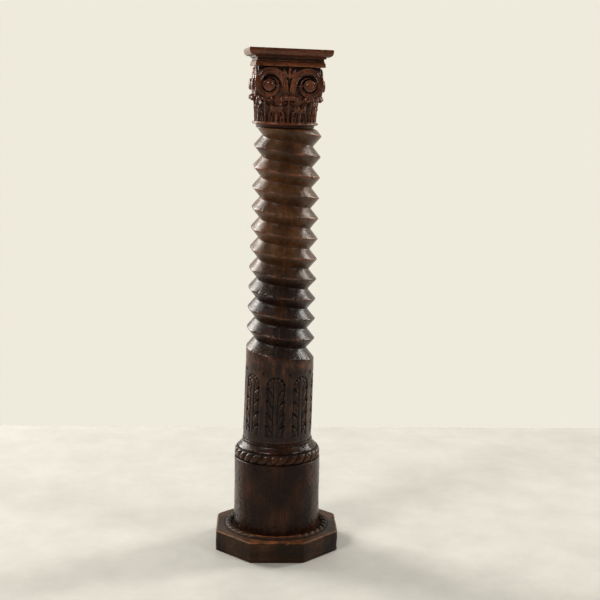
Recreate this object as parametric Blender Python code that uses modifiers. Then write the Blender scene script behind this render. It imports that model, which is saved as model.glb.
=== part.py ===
"""Turned and carved oak column: octagonal plinth, drum, left-handed screw shaft, capital, abacus.

Sizes are in metres. The origin is the centre of the plinth's underside, +Z is up, and the front
that is carved to be seen first faces -Y. Everything above the drum leans a little, as the old
column has settled, and the capital and its abacus are each turned a few degrees.
"""

import math

import bmesh
import bpy
from mathutils import Matrix, Vector

# Gap left between two pieces that rest on one another
CLEARANCE = 0.0003

# Plinth: a square slab with its corners cut to eight sides, and a roped ring carved on its top
PLINTH_WIDTH = 0.3695
PLINTH_HEIGHT = 0.0605
PLINTH_CORNER_CUT = 0.10625
PLINTH_EDGE_WEAR = 0.0025
RING_RADIUS = 0.1485
RING_HALF_WIDTH = 0.0100
RING_RISE = 0.0075
RING_STRANDS = 36
RING_LAY = math.radians(3.5)
RING_GROOVE = 0.0022

# Drum: a plain cylinder, a roped band and a shoulder that draws in to the shaft
DRUM_FOOT_RADIUS = 0.1317
DRUM_RADIUS = 0.1300
DRUM_PLAIN_HEIGHT = 0.2165
BAND_HEIGHT = 0.0310
BAND_QUIRK = 0.0012
BAND_SEAT_RADIUS = 0.1240
BAND_RISE = 0.0065
BAND_STRANDS = 28
BAND_LAY = math.radians(5.0)
BAND_GROOVE = 0.0035
SHOULDER_RADIUS = 0.1200
SHOULDER_HEIGHT = 0.0190
SHOULDER_HOLLOW_SHARE = 0.62
SHOULDER_STEPS = 2
COLLAR_RADIUS = 0.1063
COLLAR_HEIGHT = 0.0090
COLLAR_WEAR = 0.0015

# Lean of everything above the drum, to the viewer's right and towards the viewer, and how far
# the shaft's foot stands off the middle of the drum
SEAT_OFFSET = -0.0008
LEAN_RIGHT = math.radians(1.40)
LEAN_FORWARD = math.radians(1.8)

# Shaft: a tapering foot carved with panels, below a single left-handed V thread
SHAFT_LENGTH = 0.9330
SHAFT_FOOT_RADIUS = 0.1043
SHAFT_TOP_RADIUS = 0.0986
SCREW_PITCH = 0.0601
SCREW_DEPTH = 0.0248
SCREW_START_HEIGHT = 0.2275
SCREW_START_ANGLE = math.radians(140)
SCREW_RUN_OUT = math.radians(115)

# Carved panels round the foot of the shaft
PANEL_COUNT = 8
PANEL_TURN = math.radians(-5.5)
PANEL_WIDTH = 0.0535
PANEL_BOTTOM = 0.0300
PANEL_TOP = 0.2080
RIB_WIDTH = 0.0095
LEAF_PAIRS = 4
LEAF_RISE = math.radians(38)
GOUGE_WIDTH = 0.0042
GOUGE_DEPTH = 0.0030
LEAF_CUT_WIDTH = 0.0090
LEAF_CUT_DEPTH = 0.0050
ARCH_STEPS = 4
TEARDROP_HEIGHT = 0.2165
TEARDROP_LENGTH = 0.0140
TEARDROP_WIDTH = 0.0085

# Capital: astragal, bell, two rows of leaves and eight volutes on a square block
CAPITAL_OFFSET = -0.0090
CAPITAL_TURN = math.radians(4.3)
NECK_RADIUS = 0.0850
NECK_HEIGHT = 0.0095
ASTRAGAL_RADIUS = 0.0968
ASTRAGAL_HEIGHT = 0.0085
BELL_FOOT_RADIUS = 0.0830
BELL_LIP_RADIUS = 0.0900
BELL_HEIGHT = 0.0995
BELL_STEPS = 2
GREAT_LEAVES = 8
LEAF_BEND_START = 0.70
LEAF_DROOP_SHARE = 0.10
LEAF_LOBE_SHARE = 0.20
LEAF_FOOT_SHARE = 0.72
LEAF_TIP_SHARE = 0.44
LEAF_KEEL_SHARE = 2.0
GREAT_LEAF_HEIGHT = 0.0800
GREAT_LEAF_WIDTH = 0.0660
GREAT_LEAF_THICKNESS = 0.0060
GREAT_LEAF_CURL = 0.0140
GREAT_LEAF_STEPS = 4
GREAT_LEAF_LOBE_COUNT = 3
GREAT_LEAF_RELIEF = (0.40, 0.10, 0.75, 0.10, 0.40)
SMALL_LEAF_HEIGHT = 0.0450
SMALL_LEAF_WIDTH = 0.0380
SMALL_LEAF_THICKNESS = 0.0045
SMALL_LEAF_CURL = 0.0030
SMALL_LEAF_STEPS = 2
SMALL_LEAF_LOBE_COUNT = 2
SMALL_LEAF_RELIEF = (0.20, 0.75, 0.20)
BLOCK_HALF_WIDTH = 0.0880
BLOCK_HEIGHT = 0.0620
BLOCK_DROP = 0.0060
VOLUTE_FACE = 0.0985
VOLUTE_SPACING = 0.1145
VOLUTE_EYE_HEIGHT = 0.1215
VOLUTE_OUTER_RADIUS = 0.0500
VOLUTE_INNER_RADIUS = 0.0360
VOLUTE_BAND_WIDTH = 0.0150
VOLUTE_GROOVE_DEPTH = 0.0070
VOLUTE_EDGE_WEAR = 0.0040
VOLUTE_SIDES = 9
EYE_RADIUS = 0.0175
EYE_PROJECTION = 0.0086
EYE_FLAT_SHARE = 0.85
EYE_FOOT_SHARE = 0.20
STEM_FOOT_HEIGHT = 0.0860
STEM_FOOT_SPREAD = 0.0064
STEM_WIDTH_AT_FOOT = 0.0110
STEM_THICKNESS = 0.0220
STEM_EDGE_WEAR = 0.0035
STEM_RISE = 0.0005
STEM_FOOT_SINK = 0.0060
STEM_STEPS = 2
PALMETTE_LENGTH = 0.0400
PALMETTE_WIDTH = 0.0110
PALMETTE_SPREAD = math.radians(32)
PALMETTE_FOOT_SPACING = 0.0020

# Abacus: a square moulded top, set with a slight turn on the capital, its profile read downwards
ABACUS_TURN = math.radians(0.9)
ABACUS_HALF_WIDTH = 0.1183
ABACUS_FASCIA = 0.0093
ABACUS_OVOLO_HEIGHT = 0.0116
ABACUS_OVOLO_DEPTH = 0.0150
ABACUS_FILLET_HEIGHT = 0.0046
ABACUS_FILLET_STEP = 0.0030
ABACUS_NECK_HALF_WIDTH = 0.0945
ABACUS_NECK_HEIGHT = 0.0060
ABACUS_CYMA_HEIGHT = 0.0055
ABACUS_CYMA_DEPTH = 0.0055
ABACUS_FOOT_HEIGHT = 0.0120
ABACUS_STEPS = 4

# Faceting
TURNED_STEPS = 28
CAPITAL_STEPS = 20
ROPE_COLUMNS = 2
ROPE_SIDES = 6
SHARP_ANGLE = math.radians(32)

MERGE_DISTANCE = 0.00001


def clear_scene():
    """Remove every object from the open file."""
    for item in list(bpy.data.objects):
        bpy.data.objects.remove(item, do_unlink=True)


def new_collection(name):
    """Return a new collection linked to the scene."""
    collection = bpy.data.collections.new(name)
    bpy.context.scene.collection.children.link(collection)
    return collection


def wood(name, colour, roughness):
    """Return a waxed wood material."""
    material = bpy.data.materials.new(name)
    material.use_nodes = True
    shader = material.node_tree.nodes["Principled BSDF"]
    shader.inputs["Base Color"].default_value = (*colour, 1.0)
    shader.inputs["Roughness"].default_value = roughness
    shader.inputs["Metallic"].default_value = 0.0
    return material


def place(name, mesh, collection, material=None, parent=None):
    """Make an object of a mesh and put it in a collection."""
    piece = bpy.data.objects.new(name, mesh)
    collection.objects.link(piece)
    piece.parent = parent
    if material:
        mesh.materials.append(material)
    return piece


def mesh_from(bm, name):
    """Turn a bmesh into a mesh, free it, and set its shading."""
    bmesh.ops.recalc_face_normals(bm, faces=bm.faces)
    mesh = bpy.data.meshes.new(name)
    bm.to_mesh(mesh)
    bm.free()
    mesh.shade_smooth()
    mesh.set_sharp_from_angle(angle=SHARP_ANGLE)
    return mesh


def as_tool(piece):
    """Mark an object as one that only shapes another."""
    piece.hide_render = True
    piece.display_type = "WIRE"
    return piece


def boolean(piece, tool, operation, solver="EXACT"):
    """Cut or join a tool into a piece."""
    modifier = piece.modifiers.new(tool.name, "BOOLEAN")
    modifier.operation = operation
    modifier.object = tool
    modifier.solver = solver


def turned_mesh(name, profile):
    """Make the line of a profile, given top to bottom as (radius, height) pairs."""
    mesh = bpy.data.meshes.new(name)
    points = [(radius, 0.0, height) for radius, height in profile]
    mesh.from_pydata(points, [(i, i + 1) for i in range(len(points) - 1)], [])
    return mesh


def turn(piece, steps):
    """Spin a piece's profile about its own Z axis."""
    screw = piece.modifiers.new("turned", "SCREW")
    screw.axis = "Z"
    screw.steps = steps
    screw.render_steps = steps
    screw.use_merge_vertices = True
    screw.merge_threshold = MERGE_DISTANCE
    screw.use_smooth_shade = True


def arc(centre, radii, start, end, steps):
    """Points of an elliptical arc from one angle to another, both ends included."""
    points = []
    for i in range(steps + 1):
        angle = start + (end - start) * i / steps
        points.append((centre[0] + radii[0] * math.cos(angle), centre[1] + radii[1] * math.sin(angle)))
    return points


def rope_ring(name, radius, height, half_width, half_height, strands, lay, groove, lying):
    """A closed ring of rope, its columns following the lay of the strands.

    A lying ring shows its top, so its strands slant across its width. A standing band shows its
    outer side, so they slant up its height.
    """
    bm = bmesh.new()
    rows = []
    for i in range(strands * ROPE_COLUMNS):
        sunk = groove if i % ROPE_COLUMNS == 0 else 0.0
        row = []
        for j in range(ROPE_SIDES):
            turn_angle = 2 * math.pi * (j + 0.5) / ROPE_SIDES
            across = math.cos(turn_angle) if lying else math.sin(turn_angle)
            angle = 2 * math.pi * i / (strands * ROPE_COLUMNS) + lay * across
            reach = radius + (half_width - sunk) * math.cos(turn_angle)
            level = height + (half_height - sunk) * math.sin(turn_angle)
            row.append(bm.verts.new((reach * math.cos(angle), reach * math.sin(angle), level)))
        rows.append(row)
    for i, row in enumerate(rows):
        following = rows[(i + 1) % len(rows)]
        for j in range(ROPE_SIDES):
            k = (j + 1) % ROPE_SIDES
            bm.faces.new((row[j], following[j], following[k], row[k]))
    return mesh_from(bm, name)


def build_plinth(parts, tools):
    """The eight-sided slab with its worn top edge and roped ring."""
    bm = bmesh.new()
    scale = Matrix.Diagonal((PLINTH_WIDTH, PLINTH_WIDTH, PLINTH_HEIGHT, 1.0))
    lift = Matrix.Translation((0.0, 0.0, PLINTH_HEIGHT / 2))
    bmesh.ops.create_cube(bm, size=1.0, matrix=lift @ scale)
    upright = [edge for edge in bm.edges if abs(edge.verts[0].co.z - edge.verts[1].co.z) > PLINTH_HEIGHT / 2]
    bmesh.ops.bevel(bm, geom=upright, offset=PLINTH_CORNER_CUT, offset_type="OFFSET", segments=1,
                    profile=0.5, affect="EDGES")
    rim = [edge for edge in bm.edges if min(vert.co.z for vert in edge.verts) > PLINTH_HEIGHT * 0.9]
    bmesh.ops.bevel(bm, geom=rim, offset=PLINTH_EDGE_WEAR, offset_type="OFFSET", segments=1,
                    profile=0.5, affect="EDGES")
    plinth = place("plinth", mesh_from(bm, "plinth"), parts, wood("plinth_oak", (0.020, 0.012, 0.008), 0.42))
    ring_mesh = rope_ring("plinth_ring", RING_RADIUS, PLINTH_HEIGHT, RING_HALF_WIDTH, RING_RISE,
                          RING_STRANDS, RING_LAY, RING_GROOVE, lying=True)
    boolean(plinth, as_tool(place("plinth_ring", ring_mesh, tools)), "UNION")
    return plinth


def drum_profile(bottom):
    """The drum's outline from its flat top down to its foot."""
    band_bottom = bottom + DRUM_PLAIN_HEIGHT
    band_top = band_bottom + BAND_HEIGHT
    shoulder_top = band_top + SHOULDER_HEIGHT
    top = shoulder_top + COLLAR_HEIGHT
    profile = [(0.0, top), (COLLAR_RADIUS - COLLAR_WEAR, top), (COLLAR_RADIUS, top - COLLAR_WEAR)]
    hollow = SHOULDER_HEIGHT * SHOULDER_HOLLOW_SHARE
    hollow_reach = (SHOULDER_RADIUS - COLLAR_RADIUS) * SHOULDER_HOLLOW_SHARE
    turning_radius = COLLAR_RADIUS + hollow_reach
    profile += arc((turning_radius, shoulder_top), (hollow_reach, hollow),
                   math.pi, math.pi * 1.5, SHOULDER_STEPS)
    profile += arc((turning_radius, band_top), (SHOULDER_RADIUS - turning_radius, SHOULDER_HEIGHT - hollow),
                   math.pi * 0.5, 0.0, SHOULDER_STEPS)[1:]
    profile += [(BAND_SEAT_RADIUS, band_top - BAND_QUIRK), (BAND_SEAT_RADIUS, band_bottom + BAND_QUIRK)]
    profile += [(DRUM_RADIUS, band_bottom), (DRUM_FOOT_RADIUS, bottom), (0.0, bottom)]
    return profile


def build_drum(parts, tools, bottom):
    """The plain drum with its roped band and shoulder. Returns it with the height of its top."""
    profile = drum_profile(bottom)
    drum = place("drum", turned_mesh("drum", profile), parts, wood("drum_oak", (0.018, 0.010, 0.007), 0.30))
    turn(drum, TURNED_STEPS)
    band_level = bottom + DRUM_PLAIN_HEIGHT + BAND_HEIGHT / 2
    band_mesh = rope_ring("drum_band", BAND_SEAT_RADIUS, band_level, BAND_RISE, BAND_HEIGHT / 2 - BAND_QUIRK,
                          BAND_STRANDS, BAND_LAY, BAND_GROOVE, lying=False)
    boolean(drum, as_tool(place("drum_band", band_mesh, tools)), "UNION")
    return drum, profile[0][1]


def shaft_radius(height):
    """Radius of the turned blank at a height along the shaft."""
    return SHAFT_FOOT_RADIUS + (SHAFT_TOP_RADIUS - SHAFT_FOOT_RADIUS) * height / SHAFT_LENGTH


def groove_depth(travelled):
    """Depth of the thread after an angle travelled from its start, where it runs out to nothing."""
    share = min(max(travelled / SCREW_RUN_OUT, 0.0), 1.0)
    return SCREW_DEPTH * share * share * (3 - 2 * share)


def screw_blank():
    """The shaft as turned and threaded, a little longer at both ends than its cut length.

    Each column of points holds a crest and a root for every turn. Going once round, a turn's
    crest meets the next one's, so the last column joins the first one turn higher.
    """
    bm = bmesh.new()
    margin = SCREW_PITCH / 2
    turns = math.ceil((SHAFT_LENGTH + margin - SCREW_START_HEIGHT) / SCREW_PITCH)
    columns = []
    for i in range(TURNED_STEPS):
        travelled = 2 * math.pi * i / TURNED_STEPS
        angle = SCREW_START_ANGLE - travelled
        column = []
        column.append(bm.verts.new(ring_point(shaft_radius(-margin), angle, -margin)))
        for k in range(turns + (1 if i == 0 else 0)):
            crest = SCREW_START_HEIGHT + SCREW_PITCH * (k + i / TURNED_STEPS)
            root = crest + SCREW_PITCH / 2
            sunk = groove_depth(travelled + 2 * math.pi * k)
            column.append(bm.verts.new(ring_point(shaft_radius(crest), angle, crest)))
            column.append(bm.verts.new(ring_point(shaft_radius(root) - sunk, angle, root)))
        columns.append(column)
    for i in range(TURNED_STEPS - 1):
        left, right = columns[i], columns[i + 1]
        for j in range(len(right) - 1):
            bm.faces.new((left[j], left[j + 1], right[j + 1], right[j]))
    first, last = columns[0], columns[-1]
    bm.faces.new((last[0], last[1], first[3], first[2], first[1], first[0]))
    for j in range(1, len(last) - 1):
        bm.faces.new((last[j], last[j + 1], first[j + 3], first[j + 2]))
    return bm


def ring_point(radius, angle, height):
    """A point at a radius and an angle about the Z axis."""
    return Vector((radius * math.cos(angle), radius * math.sin(angle), height))


def cut_flat(bm, point, normal):
    """Cut away what lies on the normal's side of a plane and close the cut with one face."""
    geometry = bm.verts[:] + bm.edges[:] + bm.faces[:]
    cut = bmesh.ops.bisect_plane(bm, geom=geometry, plane_co=point, plane_no=normal, clear_outer=True)
    rim = [item for item in cut["geom_cut"] if isinstance(item, bmesh.types.BMEdge)]
    bmesh.ops.edgeloop_fill(bm, edges=rim)


def gouge_frame(start, end):
    """A frame between two points on the shaft: X across the cut, Y out of the wood, Z along it."""
    along = (end - start).normalized()
    outward = Vector((start.x + end.x, start.y + end.y, 0.0)).normalized()
    across = along.cross(outward).normalized()
    frame = Matrix((across, across.cross(along) * -1, along)).transposed().to_4x4()
    frame.translation = (start + end) / 2
    return frame


def add_gouge(bm, start, end, width, depth):
    """Add a lens of diamond section whose lower half is the cut of one stroke, pointed at its ends."""
    size = Matrix.Diagonal((width / 2, depth, (end - start).length / 2, 1.0))
    bmesh.ops.create_uvsphere(bm, u_segments=4, v_segments=2, radius=1.0,
                              matrix=gouge_frame(start, end) @ size)


def add_vein(bm, start, end, width, depth):
    """Add a bar of diamond section whose lower half is a V groove of even depth."""
    size = Matrix.Diagonal((width / 2, depth, 1.0, 1.0))
    bmesh.ops.create_cone(bm, cap_ends=True, cap_tris=False, segments=4, radius1=1.0, radius2=1.0,
                          depth=(end - start).length, matrix=gouge_frame(start, end) @ size)


def panel_point(across, height, turn_angle):
    """A point on the foot's surface, from a distance across a panel and a height."""
    radius = shaft_radius(height)
    return ring_point(radius, turn_angle + across / radius, height)


def add_panel(bm, turn_angle):
    """The cuts of one panel: both sides of its rib, the leaves beside it and its arched head."""
    half = PANEL_WIDTH / 2
    spring = PANEL_TOP - half
    rib = (RIB_WIDTH + GOUGE_WIDTH) / 2
    inner = rib + GOUGE_WIDTH * 0.6
    leaf_pitch = (spring - PANEL_BOTTOM) / LEAF_PAIRS
    leaf_rise = (half - inner) / math.tan(LEAF_RISE)
    for side in (-1, 1):
        add_vein(bm, panel_point(side * rib, PANEL_BOTTOM, turn_angle),
                 panel_point(side * rib, spring, turn_angle), GOUGE_WIDTH, GOUGE_DEPTH)
        for k in range(LEAF_PAIRS):
            foot = PANEL_BOTTOM + leaf_pitch * (k + 0.35)
            add_gouge(bm, panel_point(side * inner, foot, turn_angle),
                      panel_point(side * half, foot + leaf_rise, turn_angle), LEAF_CUT_WIDTH, LEAF_CUT_DEPTH)
    for k in range(ARCH_STEPS):
        ends = []
        for share in (k + 0.05, k + 0.95):
            angle = math.pi * share / ARCH_STEPS
            ends.append(panel_point(half * math.cos(angle), spring + half * math.sin(angle), turn_angle))
        add_gouge(bm, ends[0], ends[1], GOUGE_WIDTH, GOUGE_DEPTH)


def build_shaft(parts, tools, axis):
    """The threaded shaft, flat on its seat, with its carved foot."""
    bm = screw_blank()
    cut_flat(bm, Vector((0.0, 0.0, SHAFT_LENGTH)), Vector((0.0, 0.0, 1.0)))
    down = axis.matrix_world.to_3x3().inverted() @ Vector((0.0, 0.0, -1.0))
    cut_flat(bm, -down * CLEARANCE, down)
    material = wood("shaft_oak", (0.038, 0.020, 0.012), 0.33)
    shaft = place("shaft", mesh_from(bm, "shaft"), parts, material, axis)
    carving = bmesh.new()
    for k in range(PANEL_COUNT):
        turn_angle = PANEL_TURN + math.radians(270) + 2 * math.pi * k / PANEL_COUNT
        add_panel(carving, turn_angle)
        between = turn_angle + math.pi / PANEL_COUNT
        top = panel_point(0.0, TEARDROP_HEIGHT + TEARDROP_LENGTH / 2, between)
        bottom = panel_point(0.0, TEARDROP_HEIGHT - TEARDROP_LENGTH / 2, between)
        add_gouge(carving, bottom, top, TEARDROP_WIDTH, GOUGE_DEPTH)
    tool = as_tool(place("shaft_carving", mesh_from(carving, "shaft_carving"), tools, parent=axis))
    boolean(shaft, tool, "DIFFERENCE")
    return shaft


def bell_profile():
    """The capital's turned core from its top down to its flat seat."""
    bead = ASTRAGAL_HEIGHT / 2
    bead_centre = NECK_HEIGHT + bead
    bell_bottom = NECK_HEIGHT + ASTRAGAL_HEIGHT
    bell_top = bell_bottom + BELL_HEIGHT
    profile = [(0.0, bell_top)]
    for i in range(BELL_STEPS + 1):
        share = 1 - i / BELL_STEPS
        radius = BELL_FOOT_RADIUS + (BELL_LIP_RADIUS - BELL_FOOT_RADIUS) * share * share
        profile.append((radius, bell_bottom + BELL_HEIGHT * share))
    profile += arc((ASTRAGAL_RADIUS - bead, bead_centre), (bead, bead), math.pi / 2, -math.pi / 2, 4)
    profile += [(NECK_RADIUS, NECK_HEIGHT), (NECK_RADIUS, 0.0), (0.0, 0.0)]
    return profile


def bell_radius(height):
    """Radius of the bell at a height above the capital's seat."""
    share = min(max((height - NECK_HEIGHT - ASTRAGAL_HEIGHT) / BELL_HEIGHT, 0.0), 1.0)
    return BELL_FOOT_RADIUS + (BELL_LIP_RADIUS - BELL_FOOT_RADIUS) * share * share


def add_leaf(bm, turn_angle, height, width, thickness, curl, steps, lobes, relief):
    """A leaf that climbs the bell and curls out at its tip, lobed along both sides.

    The relief is the rise of each point across a row, as shares of the thickness. A keel behind
    the face closes the leaf, sunk in the bell below and drawn in under the curled tip.
    """
    bottom = NECK_HEIGHT + ASTRAGAL_HEIGHT * 0.8
    face, keel = [], []
    for i in range(steps + 1):
        share = i / steps
        bend = max(0.0, share - LEAF_BEND_START) / (1 - LEAF_BEND_START)
        level = bottom + height * (share - LEAF_DROOP_SHARE * bend * bend)
        reach = bell_radius(level) + thickness * 0.5 + curl * bend
        lobe = 1 - LEAF_LOBE_SHARE * (1 - abs(math.sin(math.pi * lobes * share)))
        taper = LEAF_FOOT_SHARE + (1 - LEAF_FOOT_SHARE) * share
        half = width / 2 * lobe * taper * math.sqrt(1 - (1 - LEAF_TIP_SHARE ** 2) * share ** 3)
        row = []
        for j, rise in enumerate(relief):
            across = 2 * j / (len(relief) - 1) - 1
            angle = turn_angle + half * across / reach
            row.append(bm.verts.new(ring_point(reach + thickness * rise, angle, level)))
        face.append(row)
        inner = reach - thickness * (LEAF_KEEL_SHARE - bend)
        keel.append(bm.verts.new(ring_point(inner, turn_angle, level - thickness * 0.5 * bend)))
    for low, high, heel, crown in zip(face, face[1:], keel, keel[1:]):
        for j in range(len(relief) - 1):
            bm.faces.new((low[j], low[j + 1], high[j + 1], high[j]))
        bm.faces.new((low[0], high[0], crown, heel))
        bm.faces.new((low[-1], heel, crown, high[-1]))
    for j in range(len(relief) - 1):
        bm.faces.new((keel[0], face[0][j + 1], face[0][j]))
        bm.faces.new((keel[-1], face[-1][j], face[-1][j + 1]))


def volute_radius(share):
    """Outer radius of a volute after a share of its one outer turn, from its stem inwards."""
    return VOLUTE_OUTER_RADIUS + (VOLUTE_INNER_RADIUS - VOLUTE_OUTER_RADIUS) * share


def add_volute(bm, face_frame, side):
    """One volute: a disc whose face winds round a raised eye, X across the face and Z out of it."""
    eye = Vector((side * VOLUTE_SPACING / 2, VOLUTE_EYE_HEIGHT, 0.0))
    back = -(VOLUTE_FACE - BLOCK_HALF_WIDTH) * 2
    rings = []
    for i in range(VOLUTE_SIDES):
        share = i / VOLUTE_SIDES
        angle = math.pi - 2 * math.pi * share
        outer = volute_radius(share)
        groove = outer - VOLUTE_BAND_WIDTH
        section = (
            (outer - VOLUTE_EDGE_WEAR, back),
            (outer, -VOLUTE_EDGE_WEAR),
            (groove + VOLUTE_EDGE_WEAR, 0.0),
            (groove, -VOLUTE_GROOVE_DEPTH),
            (EYE_RADIUS, EYE_PROJECTION * EYE_FOOT_SHARE),
            (EYE_RADIUS * EYE_FLAT_SHARE, EYE_PROJECTION),
        )
        ring = []
        for radius, level in section:
            spoke = Vector((side * math.cos(angle), math.sin(angle), 0.0)) * radius
            ring.append(bm.verts.new(face_frame @ (eye + spoke + Vector((0.0, 0.0, level)))))
        rings.append(ring)
    for i, ring in enumerate(rings):
        following = rings[(i + 1) % VOLUTE_SIDES]
        for j in range(len(ring) - 1):
            bm.faces.new((ring[j], following[j], following[j + 1], ring[j + 1]))
    bm.faces.new([ring[0] for ring in rings])
    bm.faces.new([ring[-1] for ring in reversed(rings)])


def add_stem(bm, face_frame, side):
    """The band that climbs from the middle of a face to the outer edge of a volute."""
    foot = Vector((side * STEM_FOOT_SPREAD, STEM_FOOT_HEIGHT, 0.0))
    band_middle = VOLUTE_SPACING / 2 - VOLUTE_OUTER_RADIUS + VOLUTE_BAND_WIDTH / 2
    head = Vector((side * band_middle, VOLUTE_EYE_HEIGHT, 0.0))
    section = ((-0.5, -STEM_THICKNESS), (-0.5, -STEM_EDGE_WEAR), (0.0, STEM_RISE), (0.5, -STEM_EDGE_WEAR),
               (0.5, -STEM_THICKNESS))
    rows = []
    for i in range(STEM_STEPS + 1):
        share = i / STEM_STEPS
        middle = foot.lerp(head, share * share)
        middle.y = foot.y + (head.y + VOLUTE_BAND_WIDTH / 2 - foot.y) * share
        width = STEM_WIDTH_AT_FOOT + (VOLUTE_BAND_WIDTH - STEM_WIDTH_AT_FOOT) * share
        row = []
        for across, level in section:
            offset = Vector((side * across * width, 0.0, level - STEM_FOOT_SINK * (1 - share)))
            row.append(bm.verts.new(face_frame @ (middle + offset)))
        rows.append(row)
    for low, high in zip(rows, rows[1:]):
        for j in range(len(section)):
            k = (j + 1) % len(section)
            bm.faces.new((low[j], low[k], high[k], high[j]))
    bm.faces.new(rows[0])
    bm.faces.new(rows[-1])


def add_palmette(bm, face_frame):
    """Three pointed lobes that fan out between the volutes."""
    for k in (-1, 0, 1):
        foot = Matrix.Translation((-k * PALMETTE_FOOT_SPACING, VOLUTE_EYE_HEIGHT, -VOLUTE_EDGE_WEAR))
        swing = Matrix.Rotation(k * PALMETTE_SPREAD, 4, "Z")
        lobe = Matrix.Diagonal((PALMETTE_WIDTH / 2, PALMETTE_LENGTH / 2, PALMETTE_WIDTH, 1.0))
        lift = Matrix.Translation((0.0, PALMETTE_LENGTH / 2, 0.0))
        bmesh.ops.create_uvsphere(bm, u_segments=4, v_segments=2, radius=1.0,
                                  matrix=face_frame @ foot @ swing @ lift @ lobe)


def face_frames():
    """The frames of the capital's four faces, each with X across, Y up and Z out of the face."""
    upright = Matrix(((1, 0, 0, 0), (0, 0, -1, -VOLUTE_FACE), (0, 1, 0, 0), (0, 0, 0, 1)))
    return [Matrix.Rotation(math.pi / 2 * k, 4, "Z") @ upright for k in range(4)]


def build_ornament(name, add, places, tools, holder):
    """Gather one kind of ornament, none of whose copies touch, into a shape to join on."""
    bm = bmesh.new()
    for spot in places:
        add(bm, *spot)
    return as_tool(place(name, mesh_from(bm, name), tools, parent=holder))


def build_capital(parts, tools, axis):
    """The capital on the shaft's top. Returns it with the height of its own top."""
    holder = bpy.data.objects.new("capital_axis", None)
    parts.objects.link(holder)
    holder.parent = axis
    holder.location = (CAPITAL_OFFSET, 0.0, SHAFT_LENGTH + CLEARANCE)
    holder.rotation_euler = (0.0, 0.0, CAPITAL_TURN)
    material = wood("capital_oak", (0.085, 0.034, 0.020), 0.34)
    capital = place("capital", turned_mesh("capital", bell_profile()), parts, material, holder)
    turn(capital, CAPITAL_STEPS)
    block_bottom = NECK_HEIGHT + ASTRAGAL_HEIGHT + BELL_HEIGHT - BLOCK_DROP
    top = block_bottom + BLOCK_HEIGHT
    turns = [2 * math.pi * k / GREAT_LEAVES for k in range(GREAT_LEAVES)]
    great = (GREAT_LEAF_HEIGHT, GREAT_LEAF_WIDTH, GREAT_LEAF_THICKNESS, GREAT_LEAF_CURL,
             GREAT_LEAF_STEPS, GREAT_LEAF_LOBE_COUNT, GREAT_LEAF_RELIEF)
    small = (SMALL_LEAF_HEIGHT, SMALL_LEAF_WIDTH, SMALL_LEAF_THICKNESS, SMALL_LEAF_CURL,
             SMALL_LEAF_STEPS, SMALL_LEAF_LOBE_COUNT, SMALL_LEAF_RELIEF)
    frames = face_frames()
    sides = (-1, 1)
    ornaments = (
        ("capital_block", add_block, [(block_bottom, top)]),
        ("small_leaves", add_leaf, [(turn_angle + math.pi / GREAT_LEAVES, *small) for turn_angle in turns]),
        ("great_leaves", add_leaf, [(turn_angle, *great) for turn_angle in turns]),
        ("volutes_front_back", add_volute, [(frame, side) for frame in frames[::2] for side in sides]),
        ("volutes_sides", add_volute, [(frame, side) for frame in frames[1::2] for side in sides]),
        ("volute_stems", add_stem, [(frame, side) for frame in frames for side in sides]),
        ("palmettes", add_palmette, [(frame,) for frame in frames]),
    )
    for name, add, places in ornaments:
        boolean(capital, build_ornament(name, add, places, tools, holder), "UNION", solver="MANIFOLD")
    return capital, holder, top


def add_block(bm, bottom, top):
    """The square block behind the volutes."""
    size = Matrix.Diagonal((BLOCK_HALF_WIDTH * 2, BLOCK_HALF_WIDTH * 2, top - bottom, 1.0))
    bmesh.ops.create_cube(bm, size=1.0, matrix=Matrix.Translation((0.0, 0.0, (top + bottom) / 2)) @ size)


def abacus_profile():
    """Half-widths and heights of the abacus from its top down to its flat underside."""
    height = (ABACUS_FASCIA + ABACUS_OVOLO_HEIGHT + ABACUS_FILLET_HEIGHT + ABACUS_NECK_HEIGHT
              + ABACUS_CYMA_HEIGHT + ABACUS_FOOT_HEIGHT)
    level = height - ABACUS_FASCIA
    profile = [(0.0, height), (ABACUS_HALF_WIDTH, height)]
    ovolo_foot = ABACUS_HALF_WIDTH - ABACUS_OVOLO_DEPTH
    profile += arc((ovolo_foot, level), (ABACUS_OVOLO_DEPTH, ABACUS_OVOLO_HEIGHT), 0.0, -math.pi / 2,
                   ABACUS_STEPS)
    level -= ABACUS_OVOLO_HEIGHT
    fillet = ovolo_foot - ABACUS_FILLET_STEP
    profile += [(fillet, level), (fillet, level - ABACUS_FILLET_HEIGHT)]
    level -= ABACUS_FILLET_HEIGHT
    profile += [(ABACUS_NECK_HALF_WIDTH, level), (ABACUS_NECK_HALF_WIDTH, level - ABACUS_NECK_HEIGHT)]
    level -= ABACUS_NECK_HEIGHT
    foot = ABACUS_NECK_HALF_WIDTH + ABACUS_CYMA_DEPTH
    profile += arc((foot, level), (ABACUS_CYMA_DEPTH, ABACUS_CYMA_HEIGHT), math.pi, math.pi * 1.5,
                   ABACUS_STEPS)[1:]
    profile += [(foot, 0.0), (0.0, 0.0)]
    return profile


def build_abacus(parts, holder, bottom):
    """The square moulded top. Four turned steps of the profile make mitred corners."""
    corners = [(half_width * math.sqrt(2), height) for half_width, height in abacus_profile()]
    material = wood("abacus_oak", (0.075, 0.030, 0.018), 0.36)
    abacus = place("abacus", turned_mesh("abacus", corners), parts, material, holder)
    abacus.location = (0.0, 0.0, bottom + CLEARANCE)
    abacus.rotation_euler = (0.0, 0.0, math.pi / 4 + ABACUS_TURN)
    turn(abacus, 4)
    return abacus


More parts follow.
